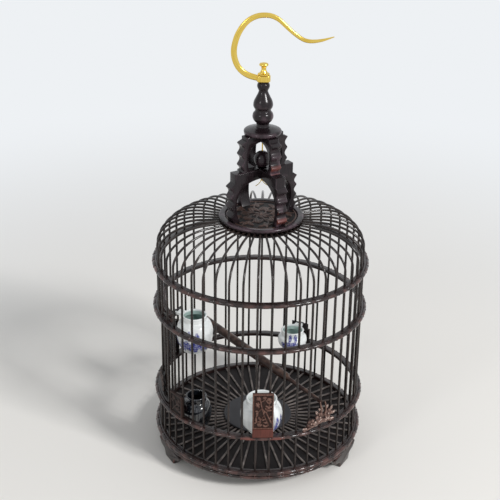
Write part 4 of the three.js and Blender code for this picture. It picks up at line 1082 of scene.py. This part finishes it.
low, high = span("door_grille")
RAIL_HEIGHT = 5.4 * MM
NEXT_ROD = 9  # the door's rods wander differently from the sill's
bars = [upright_rod(DOOR_CIRCLE, d, low + RAIL_HEIGHT / 2, high, i + NEXT_ROD)
        for i, d in enumerate(DOOR_OFFSETS)]
rail = curved_rail(DOOR_CIRCLE, DOOR_RAIL_HALF, low, low + RAIL_HEIGHT, DOOR_HALF)
grille = [turn(p, DOOR_AZIMUTH) for p in [rail, *bars]]
piece("door_grille_bent", grille, rod_wood, "door_grille", body="door")
for node, body in (("door_header", "root"), ("door_top_rail", "door")):
    rail = curved_rail(DOOR_CIRCLE, DOOR_RAIL_HALF, *span(node), DOOR_HALF)
    piece(node + "_bent", [turn(rail, DOOR_AZIMUTH)], hoop_wood, node, body=body)

# %% [markdown]
# ## Carved plaques and sprays
# Plaques are boards with a sunk field and low relief inside a plain frame: a stem climbs across the field
# with leaves and blossoms beside it. The sprays are cut through, so each blossom and leaf is a body of its
# own that overlaps its neighbours.

# %% Plaques
# Millimetres
PLAQUE_MARGIN = 1.5
PLAQUE_SUNK = 1.5
PLAQUE_THICKNESS = 4.4


def plaque_board(width, height, strokes):
    """Front: a field sunk inside the margin with the carving raised in it, as one grid of depths (mm); the
    grid's edge runs back to the flat rear. y points out of the front, so the depths are subtracted."""
    columns, rows = int(width * 5) + 1, int(height * 5) + 1
    x, z = np.meshgrid(np.linspace(-width / 2, width / 2, columns), np.linspace(0, height, rows))
    inside = np.minimum(width / 2 - np.abs(x), np.minimum(z, height - z))
    wall = np.clip((inside - PLAQUE_MARGIN) / 0.35, 0, 1)
    rounded = 0.5 * np.clip(1 - inside / 0.8, 0, 1) ** 2
    relief = carving(x, z, *strokes) * wall
    depth = PLAQUE_THICKNESS - rounded - PLAQUE_SUNK * wall + relief * (PLAQUE_SUNK + 0.2)
    # Wear is the relief height: the carved finishes turn it into stain and painted shade low, painted
    # highlight high
    wear = np.where(wall > 0, 0.12 + 0.88 * np.maximum(relief, 0.9 * (1 - wall)), 0.62 - 0.1 * rounded)
    front = np.stack([x, -depth, z], -1)
    back = np.stack([x, np.zeros(x.shape), z], -1)
    grid = np.concatenate([front, back]).reshape(-1, 3) * MM
    faces = np.array(grid_faces(rows, columns))
    behind = faces[:, ::-1] + rows * columns
    edge = np.concatenate([np.arange(columns), np.arange(1, rows) * columns + columns - 1,
                           (rows - 1) * columns + np.arange(columns - 2, -1, -1),
                           np.arange(rows - 2, 0, -1) * columns])
    following = np.roll(edge, -1)
    sides = np.stack([edge, edge + rows * columns, following + rows * columns, following], -1)
    worn = np.concatenate([wear.ravel(), np.full(wear.size, 0.3)])
    return part(grid, np.concatenate([faces, behind, sides]).tolist(), None, worn)


FRONT_STROKES = (
    [([(-5, 47), (-3.2, 39.7), (-1.4, 30), (4.1, 24), (10.5, 9)], 0.9), ([(4.1, 24), (7, 32), (8, 42)], 0.6),
     ([(-1.4, 30), (1.4, 20), (6.9, 5.4)], 0.6), ([(-1.4, 30), (-6, 26), (-9, 18)], 0.6),
     ([(-3.2, 39.7), (2, 43), (4, 47)], 0.6), ([(1.4, 20), (-3, 13), (-8, 10)], 0.6)],
    [((7, 32), 20, 5.5, 1.3), ((7, 32), 150, 5.5, 1.3), ((7.5, 37), 60, 6, 1.4), ((7.5, 37), 130, 5.5, 1.3),
     ((5, 27), 10, 6.5, 1.4), ((5, 27), 120, 6, 1.3), ((3, 41), 40, 5, 1.3), ((4, 46), 160, 5, 1.2),
     ((4, 45), 0, 6, 1.3), ((-6, 26), 170, 5, 1.4), ((-6, 26), 240, 6, 1.5), ((-5, 31), 110, 6, 1.4),
     ((-9, 18), 60, 6, 1.4), ((-9, 18), 280, 5, 1.4), ((-8, 10), 110, 6, 1.7), ((-8, 10), 200, 3.6, 1.4),
     ((-7, 9), 290, 5.5, 1.6), ((-3, 13), 250, 8, 1.8), ((-3, 13), 120, 6.5, 1.6), ((-1, 8), 230, 6, 1.6),
     ((0, 7), 300, 5, 1.5), ((6.9, 5.4), 200, 6, 1.5), ((6, 9), 170, 6, 1.3), ((4, 15), 200, 6, 1.3),
     ((8, 15), 60, 6, 1.3), ((10, 9), 100, 6, 1.3), ((2, 27), 250, 6, 1.2), ((-6, 38), 250, 6, 1.3)],
    [((6.9, 31.9), 2.9), ((-7, 36.5), 3.4), ((-6, 45), 3.2), ((8.5, 43.5), 2.8), ((1.2, 46), 2.4)])
SIDE_STROKES = (
    [([(-8, 4), (-3, 10), (2, 15), (7, 24)], 1.0), ([(-3, 10), (-6, 17), (-6, 24)], 0.7)],
    [((2, 15), 20, 8, 2.2), ((2, 15), 100, 8, 2.2), ((-3, 10), -20, 8, 2.1), ((-6, 17), 150, 5, 1.8),
     ((4, 6), 10, 7, 2.0), ((4, 6), 120, 6, 1.8)],
    [((-5, 23), 4.0), ((6.5, 22.5), 3.8), ((5, 10.5), 3.0)])
LOW_STROKES = (
    [([(-10, 4), (-4, 7), (3, 8), (10, 6)], 0.9)],
    [((-9, 5), 60, 6, 1.6), ((-7, 5), -20, 6, 1.5), ((4, 8), 50, 5, 1.5), ((5, 8), -30, 6, 1.5),
     ((9, 6), 70, 5, 1.4)],
    [((-1.5, 8), 3.6)])
# Every plaque but the front one takes the carved wood darkened as painted shade
PLAQUES = {"front": (26.5, FRONT_STROKES, plaque_wood), "left": (25, SIDE_STROKES, carved_wood_painted_shade),
           "back_left": (25, FRONT_STROKES, carved_wood_painted_shade), "back_right": (25, LOW_STROKES, carved_wood_painted_shade)}
for name, (width, strokes, finish) in PLAQUES.items():
    low, high = span(f"plaque_{name}")
    board = shift(plaque_board(width, (high - low) / MM, strokes), (0, -OUTSIDE, low))
    piece(f"plaque_{name}_relief", [turn(board, math.radians(AZIMUTHS[name]))], finish, f"plaque_{name}")

low, high = span("plaque_front_base")
BASE_HALF, BASE_THICKNESS = 13.25 * MM, 5.2 * MM
corners = [(-BASE_HALF, 0), (BASE_HALF, 0), (BASE_HALF, high - low), (-BASE_HALF, high - low)]
block = slab(drawn_in(corners), BASE_THICKNESS, 0.7 * MM)
block = turn(shift(block, (0, -OUTSIDE - BASE_THICKNESS / 2, low)), math.radians(AZIMUTHS["front"]))
piece("plaque_front_base_planed", [block], block_wood, "plaque_front_base")

# %% [markdown]
# A blossom is a round cap whose edge swells into five petals, dished and with a knob in the middle. A leaf
# is a lens swept along its midrib, with the rib cut in. A twig is a round stick that thins.

# %% Sprays
def blossom(x, z, radius, depth, twist, tilt):
    """Rings of points from the heart outward and back along the flat rear. Petal edge: radius x
    (0.74 + 0.26 |cos(5 a / 2)|^0.6); height as in the relief."""
    rings, spokes = 18, 90
    share = np.concatenate([np.linspace(0.03, 0.9, rings - 4), [0.95, 0.98, 1.0, 1.0]])[:, None]
    angle = around(spokes)[None]
    lobe = np.abs(np.cos(5 * (angle + twist) / 2))
    reach = radius * (0.74 + 0.26 * lobe**0.6) * share
    petal = np.clip(1 - share**6, 0, None) ** 0.5 * (0.3 + 0.4 * lobe**0.7) * (0.55 + 0.6 * share)
    petal = petal - 0.12 * np.exp(-((lobe - 1) / 0.02) ** 2) * share
    heart = 0.85 * np.sqrt(np.clip(1 - (share / 0.26) ** 2, 0, None))
    height = np.maximum(petal, heart) + 0.3
    height = np.maximum(height * (1 + tilt * np.cos(angle) * share), 0.1)
    height[-1] = 0
    wear = np.clip(height * 1.05 - 0.25, 0, 1)
    grid = np.stack([x + reach * np.cos(angle), -depth * height, z + reach * np.sin(angle)], -1) * MM
    rear = grid[:1] * [1, 0, 1]
    grid, wear = np.concatenate([rear, grid]), np.concatenate([wear[:1] * 0, wear])
    faces = grid_faces(rings + 1, spokes, True, True)
    return part(grid, faces, None, wear)


LEAF_SECTION = np.array([(-1, 0), (-0.7, 0.62), (-0.3, 0.78), (0, 0.3), (0.3, 0.78), (0.7, 0.62), (1, 0),
                         (0, -0.25)])
LEAF_LIFT = 1.0  # mm from the flat rear


def leaf(x, z, degrees, length, width, depth):
    """Half width = width sin(pi t)^0.8; the tip curls outward as t squared."""
    t = np.concatenate([[0.012], np.linspace(0.05, 0.95, 14), [0.988]])
    a = math.radians(degrees)
    curl = -LEAF_LIFT - 0.22 * depth * t**2
    path = np.stack([x + length * t * math.cos(a), curl, z + length * t * math.sin(a)], -1)
    swell = np.sin(np.pi * t) ** 0.8
    section = LEAF_SECTION[None] * swell[:, None, None] * [width, depth]
    # The outward face of the leaf gets more wear, so the carved finish paints it lighter: a painted highlight
    worn = np.tile(np.clip(LEAF_SECTION[:, 1] * 1.3 - 0.05, 0, 1), (len(t), 1))
    return sweep(path * MM, (0, -1, 0), section * MM, wear=worn)


def twig(points, thick, thin):
    """Round stick along a smooth line, its radius going evenly from thick to thin."""
    line, sides = through(points, 6), 10
    radius = np.linspace(thick, thin, len(line))
    # The outward side of each twig gets more wear, so the carved finish paints it lighter: a painted
    # highlight on that side
    wear = np.tile(0.35 + 0.35 * np.sin(around(sides)), (len(line), 1))
    return sweep(line * MM, (0, -1, 0), circle(radius * MM, sides), wear=wear)


SPRAY_TWIGS = [
    ([(-30, -1.6, 2.5), (-20, -1.8, 3.2), (-8, -1.8, 5), (6, -1.8, 6), (20, -1.6, 3)], 1.7, 1.3),
    ([(-12, -1.6, 3.2), (-2, -1.6, 7.5), (10, -1.6, 9)], 1.5, 1.3)]
SPRAY_BLOSSOMS = [(-17, 8.6, 7.2, 2.6, 0.3, 0.15), (-2.6, 13.4, 8.2, 3.0, 0.9, -0.1),
                  (11, 15, 7.2, 2.8, 0.1, 0.1)]
SPRAY_LEAVES = [
    (-21, 3, 172, 10, 2.6, 1.8), (-23, 4.4, 196, 8, 2.2, 1.5), (-24, 3, 158, 7, 2.2, 1.5),
    (-8, 4, 35, 13, 3.0, 2.2), (-12, 3, 62, 9, 2.6, 2.0), (2, 4, 20, 13, 3.0, 2.2),
    (4, 3.4, 52, 10, 2.8, 2.2), (12, 3, 12, 10, 2.6, 2.0), (10, 5.5, -4, 12, 2.4, 1.8),
    (-6, 18, 118, 8, 2.4, 1.8), (14, 18, 66, 8, 2.4, 1.8), (16, 12, 28, 7.5, 2.4, 1.8),
    (-14, 3, 12, 10, 2.5, 1.8)]
PRONGS = [[(-1, -1.6, 16), (-1.4, -2.0, 26), (-3.2, -1.4, 37)],
          [(5, -1.6, 15), (6.6, -2.0, 25), (4.6, -1.4, 35.4)]]
PRONG_LEAVES = [(-1, 22, 128, 7, 2.0, 1.5), (6.2, 22, 58, 8, 2.2, 1.6), (0, 19, 80, 8, 2.0, 1.6)]


def spray_parts(prongs, prong_leaves):
    """The whole spray in millimetres, x sideways, z up from the hoop, flat at the back on y = 0."""
    made = [twig(*one) for one in SPRAY_TWIGS] + [blossom(*one) for one in SPRAY_BLOSSOMS]
    made += [leaf(*one) for one in SPRAY_LEAVES] + [twig(points, 1.8, 0.9) for points in prongs]
    return made + [leaf(*one) for one in prong_leaves]


DOOR_CARVING_BACK = 131 * MM
# The back spray and the door carving take the carved wood darkened as painted shade
for node, azimuth, finish in (("spray_front", math.radians(36.6), spray_wood),
                              ("spray_back", math.radians(216.6), carved_wood_painted_shade)):
    parts = [turn(shift(p, (0, -OUTSIDE, span(node)[0])), azimuth) for p in spray_parts(PRONGS, PRONG_LEAVES)]
    piece(node + "_carved", parts, finish, node)
place = (0, -DOOR_CARVING_BACK, span("door_carving")[0])
parts = [turn(shift(p, place), DOOR_AZIMUTH) for p in spray_parts([], [])]
piece("door_carving_cut", parts, carved_wood_painted_shade, "door_carving", body="door")

# %% [markdown]
# ## Jars and brackets
# Each jar is thrown: one profile for the outside, a rolled lip, and the same line inside at the wall's
# thickness. Its ear is a small loop, as wide as it needs to be for the bracket's tongue. The brush work is
# a value at each point of the jar, so it stays on the glaze when the jar is lifted.

# %% Jars
# Millimetres
JARS = {
    "front": {"height": 46, "body": 27.5, "neck": 19.5, "foot": 19},
    "left": {"height": 47, "body": 20.5, "neck": 13.5, "foot": 14},
    "back_left": {"height": 54, "body": 26, "neck": 17, "foot": 18},
    "back_right": {"height": 28, "body": 21, "neck": 15.8, "foot": 14},
}
JAR_REACH = 127.5
JAR_NECK = 9
JAR_WALL = 2


def jar_profile(height, body, neck, foot):
    """Outside from foot to lip as a smooth line, a half-round lip, and the inside offset by the wall."""
    s = height - JAR_NECK
    outside = [(foot - 0.6, 0), (foot, 0.5), (foot + 0.8, 2.2), (foot + (body - foot) * 0.72, 0.26 * s),
               (body - 0.2, 0.52 * s), (body - 0.1, 0.7 * s), ((body + neck) / 2 + 1.2, 0.92 * s),
               (neck + 0.4, s + 0.6), (neck, s + 3), (neck + 0.1, height - 2.6), (neck + 0.7, height - 1.2)]
    line = through(outside, 5)
    a = np.linspace(-0.2, np.pi, 7)
    lip = np.stack([neck - JAR_WALL / 2 + 0.2 + 1.1 * np.cos(a), height - 1.1 + 1.1 * np.sin(a)], -1)
    inside = line[12:-3][::-1] - [JAR_WALL, 0]
    inside = inside[inside[:, 1] > JAR_WALL + 1]
    return np.concatenate([[[0, 0]], line, lip, inside, [[foot - 4, JAR_WALL + 1], [0, JAR_WALL + 1]]])


def brush_work(points, blooms, leaves):
    """Blue where the highest stroke on the wall is high; across is the way round the jar to its middle."""
    angle = np.degrees(np.arctan2(points[:, 0], -points[:, 1]))
    radius = np.maximum(np.hypot(points[:, 0], points[:, 1]), 1)

    def across(degrees):
        return np.radians((angle - degrees + 180) % 360 - 180) * radius

    strokes = [blossom_height(across(d), points[:, 2], (0, h), size) for d, h, size in blooms]
    strokes += [leaf_height(across(d), points[:, 2], (0, h), 60 + 7 * size, 3 * size, 0.7 * size)
                for d, h, size in leaves]
    return np.clip(np.max([np.zeros(len(points)), *strokes], 0) * 2.4, 0, 1)


def jar_pot(jar, blooms, wash):
    """The thrown pot, with the paint outside and the wash inside as the first two numbers of the grain."""
    profile, sides = jar_profile(**jar), 160
    pot = lathe(profile, sides)
    outward = np.tile(np.arange(len(profile)) < len(profile) * 0.62, sides)
    paint = brush_work(pot["points"], *blooms) * outward
    glaze = np.stack([paint, np.where(outward, 0, wash), np.zeros(len(paint))], -1)
    return part(pot["points"] * MM, pot["faces"], glaze)


EAR_HALF_WIDTH, EAR_HEIGHT, EAR_RISE = 5.5, 4.4, 4
EAR_OUTER, SLOT_OUTER, SLOT_INNER, SLOT_HALF = 130.7, 129.6, 127.6, 3.3


def jar_ear(centre, neck, low):
    """A loop round the slot: outline rings at the outside and the slot, joined over top and underside."""
    n = 48
    inner_edge = centre + neck - 1
    outer = cushion(EAR_HALF_WIDTH, (EAR_OUTER - inner_edge) / 2, 5, n) + [0, (EAR_OUTER + inner_edge) / 2]
    hole = cushion(SLOT_HALF, (SLOT_OUTER - SLOT_INNER) / 2, 8, n) + [0, (SLOT_OUTER + SLOT_INNER) / 2]
    soft, high = 0.5, low + EAR_HEIGHT
    face = (outer * 3 + hole) / 4
    rings = [(hole, high), (face, high), (outer, high - soft), (outer, low + soft), (face, low), (hole, low)]
    grid = [np.column_stack([ring[:, 0], -ring[:, 1], np.full(n, z)]) for ring, z in rings]
    return part(np.array(grid) * MM, grid_faces(len(grid), n, True, True), np.zeros((len(grid) * n, 3)))


# (angle from the front, height, size) of the blooms and then of the leaves on each jar
BLOOMS = {
    "front": ([(58, 8, 7), (80, 13, 6), (98, 7, 6), (-84, 10, 7), (150, 12, 8)],
              [(44, 5, 5), (70, 4, 6), (48, 13, 5), (62, 17, 4), (88, 19, 4)]),
    "left": ([], []),
    "back_left": ([(118, 13, 9), (94, 16, 8), (141, 17, 8), (72, 11, 7), (163, 12, 7)],
                  [(106, 5, 7), (128, 5, 7), (84, 5, 6), (150, 5, 6), (104, 24, 5), (130, 23, 5),
                   (52, 7, 6)]),
    "back_right": ([(-158, 8, 9), (176, 9, 8), (-134, 8, 8), (-106, 6, 5)],
                   [(-164, 3, 5), (-142, 3, 5), (-166, 15, 4), (-140, 15, 4)]),
}
WASH = {"front": 0.15, "left": 0.0, "back_left": 1.0, "back_right": 0.9}
BRACKET_EDGE = 0.25 * MM
for name, jar in JARS.items():
    low = span(f"jar_{name}")[0]
    centre = JAR_REACH - jar["body"]
    shape = [shift(jar_pot(jar, BLOOMS[name], WASH[name]), (0, -centre * MM, low)),
             jar_ear(centre, jar["neck"], low / MM + jar["height"] - JAR_NECK + EAR_RISE)]
    shape = [turn(p, math.radians(AZIMUTHS[name])) for p in shape]
    glaze = iron_glaze if name == "left" else porcelain
    piece(f"jar_{name}_thrown", shape, glaze, f"jar_{name}", body=f"jar_{name}")
    bracket = f"bracket_{name}"
    piece(bracket + "_cut", [softened(bracket, BRACKET_EDGE)], blackwood, bracket)

# %% [markdown]
# ## Floor and light
# The cage stands on a plain pale floor that passes into a plain background away from it. A broad lamp high
# on the right gives the long soft lights on rods and hook, a weaker one on the left opens the shadows, and
# a white surround fills what the glossy wood and the brass reflect.

# %% Floor and lamps
BACKGROUND = "#eef1f4"
FLOOR_COLOUR = "#efece7"
REACH = 6.0
NEAR, FAR = 0.3, 1.5  # metres from the cage over which the floor passes into the background


def seen_share(tree):
    """1 for what the camera sees, straight, in a mirror or through glass, and 0 for the light on things."""
    rays = add(tree, "ShaderNodeLightPath").outputs
    mirrored = combine(tree, "MAXIMUM", rays["Is Glossy Ray"], rays["Is Transmission Ray"])
    return combine(tree, "MAXIMUM", rays["Is Camera Ray"], mirrored)


floor_mesh = bpy.data.meshes.new("studio_floor")
corners = [(-REACH, -REACH, 0), (REACH, -REACH, 0), (REACH, REACH, 0), (-REACH, REACH, 0)]
floor_mesh.from_pydata(corners, [], [(0, 1, 2, 3)])
floor_material, tree = new_material("pale_floor")
shader = add(tree, "ShaderNodeBsdfPrincipled", {"Base Color": colour(FLOOR_COLOUR), "Roughness": 0.9})
place = add(tree, "ShaderNodeTexCoord").outputs["Object"]
away = add(tree, "ShaderNodeVectorMath", {0: place}, operation="LENGTH").outputs["Value"]
far = remap(tree, away, NEAR, FAR, 0.0, 1.0, interpolation_type="SMOOTHSTEP")
glow = add(tree, "ShaderNodeEmission", {"Color": colour(BACKGROUND), "Strength": 1.0})
share = combine(tree, "MULTIPLY", far, seen_share(tree))
blend = add(tree, "ShaderNodeMixShader", {0: share, 1: shader.outputs[0], 2: glow.outputs[0]})
add(tree, "ShaderNodeOutputMaterial", {0: blend.outputs[0]})
floor_mesh.materials.append(floor_material)
studio_floor = placed("studio_floor", floor_mesh)


def lamp(name, place, target, size, watts):
    """A square area lamp at a place, turned to face a target."""
    light = bpy.data.lights.new(name, "AREA")
    light.size = size
    light.energy = watts
    made = placed(name, light)
    made.location = place
    away = unit(np.array(place) - np.array(target))
    side = unit(np.cross([0, 0, 1], away))
    aim(made, np.stack([side, np.cross(away, side), away], -1))
    return made


MIDDLE = (0, 0, 0.25)
key = lamp("key", (2.6, -2.1, 2.5), MIDDLE, 0.8, 125)
fill = lamp("fill", (-1.9, -2.4, 1.7), MIDDLE, 0.6, 14)

world = bpy.data.worlds.new("surround")
bpy.context.scene.world = world
world.use_nodes = True
world.node_tree.nodes.clear()
tree = world.node_tree
SURROUND_LIGHT = 0.5
strength = remap(tree, seen_share(tree), 0.0, 1.0, SURROUND_LIGHT, 1.0)
background = add(tree, "ShaderNodeBackground", {"Color": colour(BACKGROUND), "Strength": strength})
add(tree, "ShaderNodeOutputWorld", {0: background.outputs[0]})
bpy.context.scene.view_settings.view_transform = "Standard"
